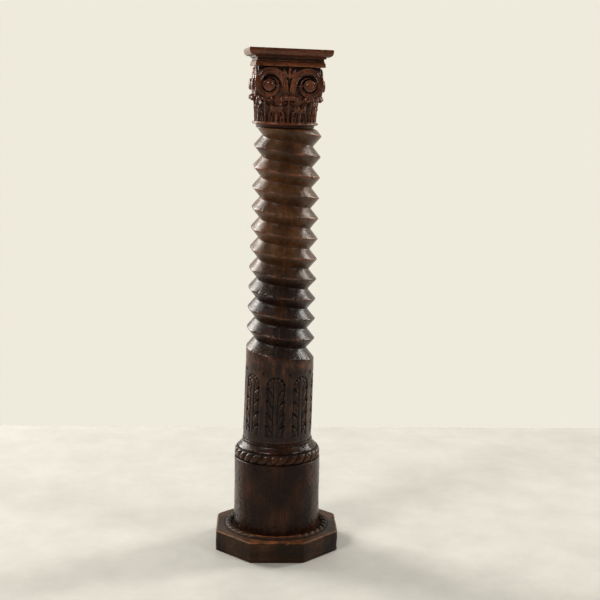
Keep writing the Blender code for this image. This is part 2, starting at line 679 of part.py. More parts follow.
def main():
    clear_scene()
    parts = new_collection("column")
    tools = new_collection("column_tools")
    build_plinth(parts, tools)
    _, drum_top = build_drum(parts, tools, PLINTH_HEIGHT + CLEARANCE)
    axis = bpy.data.objects.new("leaning_axis", None)
    parts.objects.link(axis)
    axis.location = (SEAT_OFFSET, 0.0, drum_top)
    axis.rotation_euler = (LEAN_FORWARD, LEAN_RIGHT, 0.0)
    bpy.context.view_layer.update()
    build_shaft(parts, tools, axis)
    _, holder, capital_top = build_capital(parts, tools, axis)
    build_abacus(parts, holder, capital_top)
    bpy.context.view_layer.update()


main()
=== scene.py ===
"""The carved oak column as it looks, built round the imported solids.

Sizes are in metres, in the solids' own frame: origin at the centre of the plinth's underside, +Z up,
and the photographed side towards -Y. Each visible piece stands for the solid of the same name.
"""

import math

import bmesh
import bpy
import numpy as np
from mathutils import Matrix, Vector


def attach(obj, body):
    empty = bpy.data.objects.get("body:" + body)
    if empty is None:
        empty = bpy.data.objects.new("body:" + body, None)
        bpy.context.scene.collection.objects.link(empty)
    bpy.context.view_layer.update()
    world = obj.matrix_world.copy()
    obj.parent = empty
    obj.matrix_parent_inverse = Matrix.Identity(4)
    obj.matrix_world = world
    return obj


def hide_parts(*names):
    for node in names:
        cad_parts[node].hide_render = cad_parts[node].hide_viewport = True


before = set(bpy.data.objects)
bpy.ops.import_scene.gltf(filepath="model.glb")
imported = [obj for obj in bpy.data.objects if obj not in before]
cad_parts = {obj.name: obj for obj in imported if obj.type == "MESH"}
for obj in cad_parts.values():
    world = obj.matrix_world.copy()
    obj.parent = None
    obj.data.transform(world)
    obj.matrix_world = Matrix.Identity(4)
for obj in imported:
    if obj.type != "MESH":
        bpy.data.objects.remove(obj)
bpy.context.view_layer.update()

# Camera, fitted to the photograph
CAMERA_PLACE = (-0.04016, -3.32529, 1.28026)
CAMERA_YAW = math.radians(1.8015)
CAMERA_PITCH = math.radians(8.9273)
CAMERA_ROLL = math.radians(0.7383)
CAMERA_LENS = 67.14
CAMERA_SENSOR = 36.0

# Where the pieces sit on one another
CLEARANCE = 0.0003
SEAT_OFFSET = -0.0008
LEAN_RIGHT = math.radians(1.40)
LEAN_FORWARD = math.radians(1.8)

# The photographed side, as an angle from +X
FRONT_DEGREES = 270

# Plinth
PLINTH_WIDTH = 0.3695
PLINTH_HEIGHT = 0.0605
PLINTH_CORNER_CUT = 0.10625
PLINTH_CORNER_SHARPNESS = 90.0
RING_RADIUS = 0.1485
RING_HALF_WIDTH = 0.0100
RING_RISE = 0.0075
RING_STRANDS = 36
RING_LAY = math.radians(3.5)
RING_GROOVE = 0.0058
RING_MARGIN = 0.0015
PLINTH_FOOT_EDGE = ((0.0030, 0.0), (0.0010, 0.0004), (0.0002, 0.0014), (0.0, 0.003))
PLINTH_RIM = ((0.0003, -0.0030), (0.0009, -0.0018), (0.0020, -0.0008), (0.0036, -0.0002), (0.006, 0.0))
TRODDEN_BEARING = math.radians(FRONT_DEGREES - 2)

# Drum
DRUM_FOOT_RADIUS = 0.1317
DRUM_RADIUS = 0.1300
DRUM_PLAIN_HEIGHT = 0.2165
DRUM_EDGE = 0.0015
BAND_HEIGHT = 0.0310
BAND_QUIRK = 0.0016
BAND_SEAT_RADIUS = 0.1240
BAND_RISE = 0.0062
BAND_STRANDS = 28
BAND_LAY = math.radians(5.0)
BAND_GROOVE = 0.0058
SHOULDER_RADIUS = 0.1200
SHOULDER_HEIGHT = 0.0190
COLLAR_RADIUS = 0.1063
COLLAR_HEIGHT = 0.0090
COLLAR_WEAR = 0.0015
DRUM_BOTTOM = PLINTH_HEIGHT + CLEARANCE
DRUM_TOP = DRUM_BOTTOM + DRUM_PLAIN_HEIGHT + BAND_HEIGHT + SHOULDER_HEIGHT + COLLAR_HEIGHT

# Shaft
SHAFT_LENGTH = 0.9330
SHAFT_FOOT_RADIUS = 0.1043
SHAFT_TOP_RADIUS = 0.0986
SCREW_PITCH = 0.0601
SCREW_DEPTH = 0.0248
SCREW_START_HEIGHT = 0.2275
SCREW_START_ANGLE = math.radians(140)
SCREW_RUN_OUT = math.radians(115)
CREST_WEAR = 0.035
CHIPPED_CREST = 0.12

# Carved panels
PANEL_COUNT = 8
PANEL_TURN = math.radians(-5.5)
PANEL_WIDTH = 0.0535
PANEL_BOTTOM = 0.0300
PANEL_TOP = 0.2080
RIB_WIDTH = 0.0095
LEAF_PAIRS = 4
LEAF_RISE = math.radians(38)
VEIN_WIDTH = 0.0052
VEIN_DEPTH = 0.0046
SCALLOP_DEPTH = 0.0022
CUT_UNEVEN = 0.18
LEAF_CUT_WIDTH = 0.0104
LEAF_CUT_DEPTH = 0.0068
LEAF_BOW = 0.0035
DISH_WIDTH = 0.0100
DISH_DEPTH = 0.0014
ARCH_CUTS = 6
ARCH_CUT_LENGTH = 0.0085
ARCH_CUT_WIDTH = 0.0090
ARCH_CUT_DEPTH = 0.0062
ARCH_COLLAR_GAP = 0.004
ARCH_COLLAR_WIDTH = 0.0045
ARCH_COLLAR_DEPTH = 0.0034
TEARDROP_HEIGHT = 0.2165
TEARDROP_LENGTH = 0.0150
TEARDROP_WIDTH = 0.0095
TEARDROP_DEPTH = 0.0042

# Drying cracks: degrees from the front, and the heights between which each runs
CRACKS = ((4.3, 0.497, 0.524), (-11.5, 0.438, 0.470), (10.0, 0.385, 0.406), (-5.5, 0.311, 0.370),
          (-10.7, 0.274, 0.307), (118.0, 0.420, 0.480), (205.0, 0.300, 0.350), (171.0, 0.610, 0.650))
CRACK_WIDTH = 0.0022
CRACK_DEPTH = 0.0030
CRACK_WANDER = 0.0006
CRACK_END = 0.006

# Red streaks in the grain of the shaft's foot: degrees from the front, height and half-width
STREAKS = ((-31.5, 0.238, 0.0050), (-10.5, 0.240, 0.0065), (6.0, 0.232, 0.0050), (-50.0, 0.200, 0.0040),
           (60.0, 0.232, 0.0050), (140.0, 0.235, 0.0060), (210.0, 0.225, 0.0050))

# Capital
CAPITAL_OFFSET = -0.0090
CAPITAL_TURN = math.radians(4.3)
CAPITAL_HEIGHT = 0.1735
NECK_RADIUS = 0.0850
NECK_HEIGHT = 0.0095
ASTRAGAL_RADIUS = 0.0968
ASTRAGAL_HEIGHT = 0.0085
BELL_FOOT_RADIUS = 0.0830
BELL_LIP_RADIUS = 0.0900
BELL_HEIGHT = 0.0995
GREAT_LEAVES = 8
GREAT_LEAF_RISE = 0.0800
GREAT_LEAF_THICKNESS = 0.0085
GREAT_LEAF_OUTLINE = (
    (0.0, 0.22, 0.36, 0.46, 0.55, 0.62, 0.68, 0.74, 0.80, 0.90, 1.0),
    (0.0150, 0.0155, 0.0190, 0.0255, 0.0310, 0.0315, 0.0275, 0.0235, 0.0240, 0.0275, 0.0235))
GREAT_LEAF_EYES = ((0.82, 0.70), (0.62, 0.42), (0.34, 0.66))
FLUTE_DEPTH = 0.0034
EYE_DEPTH = 0.0062
SMALL_LEAF_RISE = 0.0450
SMALL_LEAF_THICKNESS = 0.0070
SMALL_LEAF_OUTLINE = (
    (0.0, 0.20, 0.40, 0.55, 0.70, 0.85, 1.0),
    (0.0150, 0.0165, 0.0160, 0.0135, 0.0100, 0.0060, 0.0010))
BLOCK_HALF_WIDTH = 0.0880
BLOCK_BOTTOM = 0.1115
VOLUTE_FACE = 0.0985
VOLUTE_SPACING = 0.1145
VOLUTE_EYE_HEIGHT = 0.1215
EYE_RADIUS = 0.0172
EYE_PROJECTION = 0.0086
EYE_RING = 0.0208
VOLUTE_GROOVE = 0.0105
VOLUTE_TURN = np.array((0.0, 0.25, 0.5, 0.75, 1.0, 1.25, 1.5, 2.0, 2.25, 2.5, 3.0)) * math.pi
VOLUTE_OUTER_EDGE = (0.0537, 0.0527, 0.0492, 0.0450, 0.0400, 0.0365, 0.0335, 0.0292, 0.0262, 0.0222, 0.0205)
VOLUTE_INNER_EDGE = (0.0352, 0.0330, 0.0292, 0.0250, 0.0222, 0.0212) + (EYE_RING,) * 5
VOLUTE_THICKNESS = 0.024
LINE_DEPTH = 0.0034
STEM_FOOT = -0.0390
STEM_HEAD = 0.0130
STEM_THICKNESS = 0.016
PALMETTE_FOOT = 0.0160
PALMETTE_SINK = 0.0060
PALMETTE_LOBES = ((0, 0.0345), (31, 0.0340), (-31, 0.0340))
LOBE_WIDTH = 0.0078
LOBE_THICKNESS = 0.0056
CROWN_KNOBS = ((-0.0215, 0.0830), (-0.0072, 0.0868), (0.0072, 0.0868), (0.0215, 0.0830))
CROWN_WIDTH = 0.0080
CROWN_REACH = 0.0150
CROWN_DEPTH = 0.0085
CROWN_RISE = 0.0082
CARVING_VOXEL = 0.0015

# Abacus, its profile read downwards from the top edge
ABACUS_TURN = math.radians(0.9)
ABACUS_HALF_WIDTH = 0.1183
ABACUS_FASCIA = 0.0093
ABACUS_OVOLO_HEIGHT = 0.0116
ABACUS_OVOLO_DEPTH = 0.0150
ABACUS_FILLET_HEIGHT = 0.0046
ABACUS_FILLET_STEP = 0.0030
ABACUS_NECK_HALF_WIDTH = 0.0945
ABACUS_NECK_HEIGHT = 0.0060
ABACUS_CYMA_HEIGHT = 0.0055
ABACUS_CYMA_DEPTH = 0.0055
ABACUS_FOOT_HEIGHT = 0.0120
ABACUS_CORNER_WEAR = 0.0022
ABACUS_BEAD = 0.0040
ABACUS_EDGE = 0.0022

# Fineness of the meshes, and the bend at which a profile's corner stays crisp
PROFILE_CORNER = math.radians(28)
SHARP_EDGE = math.radians(60)
SAME_POINT = 0.00005
ON_TOP = 0.000001
FLATTENED = 0.0000001
CAPITAL_TRIANGLES = 185000
SHAFT_COLUMNS = 330
SHAFT_FOOT_ROWS = 118
SHAFT_JOIN_ROWS = 8
SCREW_PHASES = (0.0, 0.02, 0.06, 0.15, 0.27, 0.39, 0.47, 0.5, 0.53, 0.61, 0.73, 0.85, 0.94, 0.98)
DRUM_COLUMNS = 384
BELL_COLUMNS = 128
BAND_ROWS = 26
DRUM_STEP = 0.0028
ABACUS_STEP = 0.0025
BELL_STEP = 0.004
PLINTH_COLUMNS = 384

# The pale room: its walls' colour, how bright they are before, behind and above the column, and the floor
ROOM_COLOUR = (0.875, 0.845, 0.745)
ROOM_FRONT = 0.065
ROOM_BACK = 1.0
ROOM_TOP = 0.45
FLOOR_REACH = 12.0
FLOOR_BACK = 1.32
FLOOR_LEVEL = -0.0002
FLOOR_MOTTLE = 5.0
FLOOR_ROUGHNESS = 0.55
FLOOR_LOW = (0.54, 0.53, 0.50)
FLOOR_HIGH = (0.61, 0.60, 0.565)
DISPLAY_GAMMA = 0.88

# Unevenness of each piece: size, seed and depth of its random fields
PLINTH_UNEVEN = (((0.07, 0.07, 0.03), 31, 0.0005), (0.015, 32, 0.0002))
DRUM_UNEVEN = (((0.06, 0.06, 0.12), 21, 0.0004), (0.018, 22, 0.00015))
SHAFT_UNEVEN = (((0.05, 0.05, 0.09), 11, 0.0004), (0.016, 12, 0.00015))
CAPITAL_UNEVEN = ((0.014, 51, 0.00022),)
ABACUS_UNEVEN = ((0.03, 42, 0.00025),)

# Chips and bruises: size, seed, rarity and depth
PLINTH_CHIPS = (0.020, 33, 1.6, 0.0030)
DRUM_BRUISES = (0.022, 23, 1.5, 0.0010)
SHAFT_CHIPS = (0.014, 13, 1.4, 0.0016)
ABACUS_CHIPS = (0.018, 41, 1.3, 0.0035)

# How far each worn surface lies inside the solid's
PLINTH_INSET = 0.0008
DRUM_INSET = 0.0005
SHAFT_INSET = 0.0006
SHAFT_END_INSET = 0.0008
SHAFT_END_EASE = 0.0012
CAPITAL_INSET = 0.0002
ABACUS_INSET = 0.0004
TOP_INSET = 0.0002

# Lights: azimuth from the camera's side and elevation in degrees, width, height and power
LIGHT_COLOUR = (1.0, 0.98, 0.93)
LIGHT_AIM = (0.0, 0.0, 0.85)
LIGHT_DISTANCE = 9.0
LIGHTS = {"window_left": (-128, 21, 3.4, 7.0, 1000),
          "window_right": (115, 24, 1.8, 6.4, 560),
          "front_left": (-46, 38, 2.0, 2.0, 300),
          "front_right": (62, 30, 1.8, 1.8, 190)}

# Features of the wood to the metre, how far its grain is stretched, and its relief
FIBRE_SCALE = 330.0
STREAK_SCALE = 75.0
PATCH_SCALE = 14.0
BLOT_SCALE = 46.0
PORE_SCALE = 620.0
UP_GRAIN = (1.0, 1.0, 0.07)
LEVEL_GRAIN = (0.07, 1.0, 1.0)
GRAIN_DEPTH = 0.0008
GRAIN_STRENGTH = 0.35

# Looks of the oak: dark and warm at tone 0, dark and warm at tone 1, worn (also the colour of painted
# highlights and glow), then grain, roughness and shine
# The dark wax colour, in the wood's pores and in its hollows, where it also paints shade
WAX_AND_SHADE = (0.003, 0.0018, 0.0012)
LOOKS = {
    "plinth": ((0.0066, 0.0036, 0.0022), (0.0200, 0.0092, 0.0048), (0.054, 0.026, 0.012),
               (0.120, 0.056, 0.026), (0.380, 0.135, 0.055), LEVEL_GRAIN, 0.36, 0.20),
    "drum": ((0.0130, 0.0046, 0.0020), (0.048, 0.0140, 0.0050), (0.032, 0.0120, 0.0050),
             (0.110, 0.036, 0.014), (0.150, 0.070, 0.042), UP_GRAIN, 0.16, 0.22),
    "shaft": ((0.0095, 0.0030, 0.0010), (0.041, 0.0100, 0.0026), (0.069, 0.029, 0.010),
              (0.218, 0.0945, 0.0306), (0.270, 0.100, 0.050), UP_GRAIN, 0.22, 0.38),
    "capital": ((0.055, 0.017, 0.0075), (0.200, 0.056, 0.020), (0.100, 0.031, 0.013),
                (0.360, 0.115, 0.045), (0.520, 0.230, 0.130), UP_GRAIN, 0.14, 0.50),
    "abacus": ((0.088, 0.028, 0.0110), (0.245, 0.076, 0.026), (0.088, 0.028, 0.0115),
               (0.256, 0.078, 0.028), (0.420, 0.160, 0.080), LEVEL_GRAIN, 0.20, 0.50),
}

LEAN = Matrix.Translation((SEAT_OFFSET, 0.0, DRUM_TOP)) @ (
    Matrix.Rotation(LEAN_RIGHT, 4, "Y") @ Matrix.Rotation(LEAN_FORWARD, 4, "X"))
CAPITAL_FRAME = LEAN @ Matrix.Translation((CAPITAL_OFFSET, 0.0, SHAFT_LENGTH + CLEARANCE)) @ (
    Matrix.Rotation(CAPITAL_TURN, 4, "Z"))
ABACUS_FRAME = CAPITAL_FRAME @ Matrix.Translation((0.0, 0.0, CAPITAL_HEIGHT + CLEARANCE)) @ (
    Matrix.Rotation(ABACUS_TURN, 4, "Z"))


def waves(points, size, seed, count=16):
    """A smooth random field of unit spread over points, its features about size across.

    size may be one length or three, for a field that is stretched along an axis.
    """
    rng = np.random.default_rng(seed)
    pull = rng.normal(size=(count, 3)) * 3.0 / np.asarray(size, float)
    phase = rng.uniform(0, 2 * np.pi, count)
    return np.sin(np.asarray(points) @ pull.T + phase).sum(-1) * math.sqrt(2.0 / count)


def unevenness(points, fields):
    """The sum of random fields, each given by its size, seed and depth."""
    return sum(waves(points, size, seed) * depth for size, seed, depth in fields)


def chips(points, size, seed, rarity, depth):
    """Depth of chips scattered at random, fewer of them the higher their rarity."""
    return np.clip(waves(points, size, seed) - rarity, 0, 1) * depth


def smooth_step(value, low, high):
    """0 below low, 1 above high, and an even rise between them."""
    share = np.clip((value - low) / (high - low), 0.0, 1.0)
    return share * share * (3 - 2 * share)


def round_points(radius, angle, height):
    """Points at a radius, an angle and a height."""
    return np.stack([radius * np.cos(angle), radius * np.sin(angle), height], -1)


def share_grid(rows, columns, low=0.0):
    """Grids of the share up a form, and of the share across it from low to 1."""
    return np.meshgrid(np.linspace(0, 1, rows), np.linspace(low, 1, columns), indexing="ij")


def lobe_grid(low, high, rows, columns):
    """Grids of the share along a lobe, from low to high, and of the angle round it."""
    angle = np.linspace(0, 2 * math.pi, columns + 1)[:-1]
    return np.meshgrid(np.linspace(low, high, rows), angle, indexing="ij")


def moved(points, matrix):
    """Points carried by a 4x4 matrix."""
    m = np.array(matrix)
    return points @ m[:3, :3].T + m[:3, 3]


def mesh_from(name, points, faces):
    """A smooth-shaded mesh."""
    mesh = bpy.data.meshes.new(name)
    mesh.from_pydata(np.asarray(points).tolist(), [], faces)
    mesh.update()
    mesh.shade_smooth()
    return mesh


def set_points(mesh, points):
    """Move a mesh's vertices."""
    mesh.vertices.foreach_set("co", points.astype(np.float32).ravel())
    mesh.update()


def closed_loft(points):
    """Points and faces of a closed form. Rows run from bottom to top, columns anticlockwise."""
    rows, columns = points.shape[:2]
    ids = np.arange(rows * columns).reshape(rows, columns)
    following = np.roll(ids, -1, axis=1)
    faces = np.stack([ids[:-1], following[:-1], following[1:], ids[1:]], -1).reshape(-1, 4).tolist()
    low, high = rows * columns, rows * columns + 1
    faces += [[low, b, a] for a, b in zip(ids[0].tolist(), following[0].tolist())]
    faces += [[high, a, b] for a, b in zip(ids[-1].tolist(), following[-1].tolist())]
    ends = np.stack([points[0].mean(0), points[-1].mean(0)])
    return np.concatenate([points.reshape(-1, 3), ends]), faces


def turned_mesh(name, points):
    """A closed mesh of rows and columns of points, its sharp edges kept crisp."""
    mesh = mesh_from(name, *closed_loft(points))
    mesh.set_sharp_from_angle(angle=SHARP_EDGE)
    return mesh


def fine_profile(corners, step):
    """A profile with its segments cut to a step, each sharp corner kept and eased on both sides."""
    corners = np.asarray(corners, float)
    apart = np.linalg.norm(np.diff(corners, axis=0), axis=1) > SAME_POINT
    corners = corners[np.concatenate([[True], apart])]
    way = np.diff(corners, axis=0)
    length = np.linalg.norm(way, axis=1)
    heading = np.arctan2(way[:, 1], way[:, 0])
    bend = np.abs((np.diff(heading) + np.pi) % (2 * np.pi) - np.pi)
    sharp = np.concatenate([[True], bend > PROFILE_CORNER, [True]])
    rows = []
    for i in range(len(way)):
        ease = min(0.0005 / length[i], 0.2)
        start = ease if sharp[i] else 0.0
        end = 1 - ease if sharp[i + 1] else 1.0
        count = max(1, round(length[i] * (end - start) / step))
        shares = np.linspace(start, end, count + 1)
        shares = shares if sharp[i + 1] else shares[:-1]
        shares = [0.0, *shares] if sharp[i] else shares
        rows += [corners[i] + way[i] * share for share in shares]
    rows.append(corners[-1])
    return np.array(rows)


def arc(centre, radii, start, end, steps):
    """Points of an elliptical arc, both ends included."""
    angles = np.linspace(start, end, steps + 1)
    return [(centre[0] + radii[0] * math.cos(a), centre[1] + radii[1] * math.sin(a)) for a in angles]


def neighbour_mean(values, edges, degree):
    """The mean of each vertex's neighbours."""
    out = np.empty_like(values)
    for axis in range(3):
        out[:, axis] = (np.bincount(edges[:, 0], values[edges[:, 1], axis], len(values))
                        + np.bincount(edges[:, 1], values[edges[:, 0], axis], len(values))) / degree
    return out


def mesh_arrays(mesh):
    """A mesh's points, normals, edges and the number of edges at each vertex."""
    count = len(mesh.vertices)
    points = np.empty(count * 3)
    mesh.vertices.foreach_get("co", points)
    normals = np.empty(count * 3)
    mesh.vertices.foreach_get("normal", normals)
    edges = np.empty(len(mesh.edges) * 2, np.int64)
    mesh.edges.foreach_get("vertices", edges)
    edges = edges.reshape(-1, 2)
    degree = np.maximum(np.bincount(edges.ravel(), minlength=count), 1)
    return points.reshape(-1, 3), normals.reshape(-1, 3), edges, degree


def set_attribute(mesh, name, values):
    """Store one number for each vertex."""
    attribute = mesh.attributes.new(name, "FLOAT", "POINT")
    attribute.data.foreach_set("value", np.asarray(values, np.float32))


def weather(mesh, tone, rounds=(4, 30), edge=0.0007, hollow=0.0010, rubbed=0.0, sunk_wax_and_shade=0.0):
    """Store where a mesh is rubbed on its edges, where its hollows are darkened by dark wax and painted
    shade, and its tone.

    rubbed adds wear and, on some pieces, painted highlights; sunk adds dark wax and painted shade. Both add
    to what the mesh's own edges and hollows give.
    """
    points, normals, edges, degree = mesh_arrays(mesh)
    smooth = points.copy()
    rise = []
    for i in range(1, rounds[1] + 1):
        smooth = smooth * 0.5 + neighbour_mean(smooth, edges, degree) * 0.5
        if i in rounds:
            rise.append(((points - smooth) * normals).sum(1))
    fine, broad = rise
    worn = np.clip(fine / edge - 0.3, 0, 1) * 0.8 + np.clip(broad / (edge * 5) - 0.3, 0, 1) * 0.4
    # Concave places go towards the dark wax colour: dark wax, and painted shade in the hollows
    hollow_wax_and_shade = np.clip(-fine / hollow - 0.15, 0, 1) * 0.7 + np.clip(-broad / (hollow * 2.2) - 0.15, 0, 1) * 0.8
    set_attribute(mesh, "wear_and_highlight", np.clip(worn + rubbed, 0, 1))
    set_attribute(mesh, "hollow", np.clip(hollow_wax_and_shade + sunk_wax_and_shade, 0, 1))
    set_attribute(mesh, "tone", np.broadcast_to(tone, len(points)))


def add_piece(name, mesh, material):
    """Show a mesh in place of the solid of the same name."""
    piece = bpy.data.objects.new(name + "_carved", mesh)
    bpy.context.scene.collection.objects.link(piece)
    mesh.materials.append(material)
    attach(piece, "root")
    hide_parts(name)
    return piece


def node(tree, kind, links=None, **settings):
    """Add a shader node, with its settings and what feeds its sockets."""
    made = tree.nodes.new(kind)
    for key, value in settings.items():
        setattr(made, key, value)
    for socket, source in (links or {}).items():
        if isinstance(source, bpy.types.NodeSocket):
            tree.links.new(source, made.inputs[socket])
        else:
            made.inputs[socket].default_value = source
    return made


def mixed(tree, share, low, high):
    """One colour laid over another by a share."""
    made = node(tree, "ShaderNodeMix", data_type="RGBA")
    for socket, source in ((0, share), (6, low), (7, high)):
        if isinstance(source, bpy.types.NodeSocket):
            tree.links.new(source, made.inputs[socket])
        elif socket == 0:
            made.inputs[socket].default_value = source
        else:
            made.inputs[socket].default_value = (*source, 1.0)
    return made.outputs[2]


def sums(tree, operation, first, second, clamp=False):
    """The result of one sum."""
    made = node(tree, "ShaderNodeMath", {0: first, 1: second}, operation=operation, use_clamp=clamp)
    return made.outputs[0]


def ranged(tree, value, low, high, to_low=0.0, to_high=1.0):
    """A value moved from one range to another, held within it."""
    links = {"Value": value, "From Min": low, "From Max": high, "To Min": to_low, "To Max": to_high}
    return node(tree, "ShaderNodeMapRange", links).outputs["Result"]


def oak(name, dark, warm, tone_dark, tone_warm, worn, grain, gloss, shine):
    """Old oak: two colours streaked along the grain, a second pair by tone, wear with painted highlights, and
    dark wax with painted shade.
    """
    material = bpy.data.materials.new(name)
    material.use_nodes = True
    tree = material.node_tree
    shader = tree.nodes["Principled BSDF"]
    place = node(tree, "ShaderNodeTexCoord").outputs["Object"]
    stretched = node(tree, "ShaderNodeMapping", {"Vector": place, "Scale": grain}).outputs[0]

    def speckle(vector, scale, detail, roughness, distortion=0.0):
        return node(tree, "ShaderNodeTexNoise", {
            "Vector": vector, "Scale": scale, "Detail": detail, "Roughness": roughness,
            "Distortion": distortion}).outputs["Fac"]

    fibre = speckle(stretched, FIBRE_SCALE, 5.0, 0.65)
    streak = speckle(stretched, STREAK_SCALE, 4.0, 0.6, 0.6)
    patch = speckle(place, PATCH_SCALE, 3.0, 0.55)
    blot = speckle(place, BLOT_SCALE, 4.0, 0.6)
    share = sums(tree, "ADD", sums(tree, "MULTIPLY", fibre, 0.45), sums(tree, "MULTIPLY", streak, 0.55))
    share = ranged(tree, share, 0.38, 0.62)
    share = sums(tree, "MULTIPLY", share, ranged(tree, patch, 0.35, 0.62, 0.25, 1.0))
    tone = node(tree, "ShaderNodeAttribute", attribute_name="tone").outputs["Fac"]
    colour = mixed(tree, share, mixed(tree, tone, dark, tone_dark), mixed(tree, tone, warm, tone_warm))
    wear_and_highlight = node(tree, "ShaderNodeAttribute", attribute_name="wear_and_highlight").outputs["Fac"]
    hollow = node(tree, "ShaderNodeAttribute", attribute_name="hollow").outputs["Fac"]
    # The worn colour goes where the attribute says: real rubbing and, on some pieces, painted highlights and
    # glow
    rubbed = sums(tree, "MULTIPLY", wear_and_highlight, ranged(tree, blot, 0.36, 0.58, 0.10, 0.95))
    colour = mixed(tree, rubbed, colour, worn)
    # The hollows take the dark wax colour, which also stands in for painted shade
    wax_shade_share = sums(tree, "MULTIPLY", hollow, ranged(tree, blot, 0.3, 0.6, 1.0, 0.85))
    colour = mixed(tree, wax_shade_share, colour, WAX_AND_SHADE)
    pore = ranged(tree, speckle(stretched, PORE_SCALE, 2.0, 0.5), 0.30, 0.42)
    colour = mixed(tree, sums(tree, "SUBTRACT", 1.0, pore), colour, WAX_AND_SHADE)
    tree.links.new(colour, shader.inputs["Base Color"])
    rough = ranged(tree, blot, 0.3, 0.7, gloss - 0.05, gloss + 0.09)
    rough = sums(tree, "SUBTRACT", rough, sums(tree, "MULTIPLY", wear_and_highlight, 0.08))
    rough = sums(tree, "ADD", rough, sums(tree, "MULTIPLY", hollow, 0.35))
    rough = sums(tree, "ADD", rough, sums(tree, "MULTIPLY", fibre, 0.10), clamp=True)
    tree.links.new(rough, shader.inputs["Roughness"])
    grainy = sums(tree, "ADD", sums(tree, "MULTIPLY", fibre, 0.7), sums(tree, "MULTIPLY", pore, 0.6))
    grainy = sums(tree, "ADD", grainy, sums(tree, "MULTIPLY", blot, 0.8))
    bump = node(tree, "ShaderNodeBump", {
        "Height": grainy, "Strength": GRAIN_STRENGTH, "Distance": GRAIN_DEPTH})
    tree.links.new(bump.outputs["Normal"], shader.inputs["Normal"])
    shader.inputs["Specular IOR Level"].default_value = shine
    return material


def shaft_radius(height):
    """Radius of the turned blank at a height along the shaft."""
    return SHAFT_FOOT_RADIUS + (SHAFT_TOP_RADIUS - SHAFT_FOOT_RADIUS) * height / SHAFT_LENGTH


def stroke(across, height, start, end, width, depth, swell=0.5):
    """Depth of one cut between two points, pointed at both ends and widest at a share of its way."""
    a, b = np.array(start), np.array(end)
    way = b - a
    length = np.linalg.norm(way)
    along = ((across - a[0]) * way[0] + (height - a[1]) * way[1]) / (length * length)
    off = ((across - a[0]) * way[1] - (height - a[1]) * way[0]) / length
    along = np.clip(along, -0.5, 1.5)
    shape = np.where(along < swell, along / swell, (1 - along) / (1 - swell))
    shape = np.sqrt(np.clip(shape, 0.0, 1.0))
    half = np.maximum(width / 2 * shape, 1e-6)
    return depth * shape * np.clip(1 - (off / half) ** 2, 0.0, 1.0)


def groove(distance, width, depth):
    """Depth of a rounded V groove at a distance from its middle."""
    return depth * np.clip(1 - np.abs(distance) / (width / 2), 0.0, 1.0) ** 0.8


def panel_cut(across, height):
    """Depth of a panel's carving at a distance from its middle and a height."""
    half = PANEL_WIDTH / 2
    spring = PANEL_TOP - half
    rib = (RIB_WIDTH + VEIN_WIDTH) / 2
    inner = rib + VEIN_WIDTH * 0.5
    side = np.abs(across)
    inside = smooth_step(height, PANEL_BOTTOM - 0.006, PANEL_BOTTOM + 0.004)
    inside = inside * smooth_step(-height, -spring - 0.002, -spring)
    cut = groove(side - rib, VEIN_WIDTH, VEIN_DEPTH * (1 - 0.35 * (across > 0))) * inside
    leaf_pitch = (spring - PANEL_BOTTOM) / LEAF_PAIRS
    leaf_turn = ((height - PANEL_BOTTOM) / leaf_pitch - 0.62) % 1.0
    scallop = half - SCALLOP_DEPTH * (1 - np.abs(2 * leaf_turn - 1)) ** 0.8
    cut = np.maximum(cut, groove(side - scallop, VEIN_WIDTH * 0.95, VEIN_DEPTH * 1.1) * inside)
    rise = (half - inner) / math.tan(LEAF_RISE)
    for k in range(-1, LEAF_PAIRS + 1):
        foot = PANEL_BOTTOM + leaf_pitch * (k + 0.30)
        bow = LEAF_BOW * np.sin(np.clip((side - inner) / (half - inner), 0, 1) * math.pi)
        leaf = stroke(side, height - bow, (inner - 0.003, foot - 0.002), (half + 0.0035, foot + rise),
                      LEAF_CUT_WIDTH, LEAF_CUT_DEPTH, 0.78)
        cut = np.maximum(cut, leaf * inside)
        dish = stroke(side, height, (inner, foot + leaf_pitch * 0.40),
                      (half - 0.001, foot + rise + leaf_pitch * 0.45), DISH_WIDTH, DISH_DEPTH)
        cut = np.maximum(cut, dish * inside)
    radius = np.hypot(across, height - spring)
    head = smooth_step(height, spring - 0.002, spring + 0.001)
    cut = np.maximum(cut, groove(radius - half, VEIN_WIDTH, VEIN_DEPTH * 0.9) * head)
    for k in range(ARCH_CUTS):
        angle = math.pi * (k + 0.5) / ARCH_CUTS
        ray = np.array((math.cos(angle), math.sin(angle)))
        cut = np.maximum(cut, stroke(across, height - spring, ray * (half - ARCH_CUT_LENGTH),
                                     ray * (half + 0.0025), ARCH_CUT_WIDTH, ARCH_CUT_DEPTH, 0.7))
    collar = groove(radius - (half - ARCH_CUT_LENGTH - ARCH_COLLAR_GAP), ARCH_COLLAR_WIDTH, ARCH_COLLAR_DEPTH)
    return np.maximum(cut, collar * head * smooth_step(np.abs(across), 0.001, 0.004))


def cracks(angle, radius, height):
    """Share of the full depth to which the shaft's drying cracks are open."""
    split = np.zeros_like(radius)
    for degrees, low, high in CRACKS:
        turn = (angle - math.radians(FRONT_DEGREES + degrees) + np.pi) % (2 * np.pi) - np.pi
        line = 1 - np.abs(turn * radius + CRACK_WANDER * np.sin((height - low) * 260)) / CRACK_WIDTH
        split = np.maximum(split, np.clip(line, 0, 1) * smooth_step(height, low, low + CRACK_END)
                           * smooth_step(-height, -high, -high + CRACK_END))
    return split


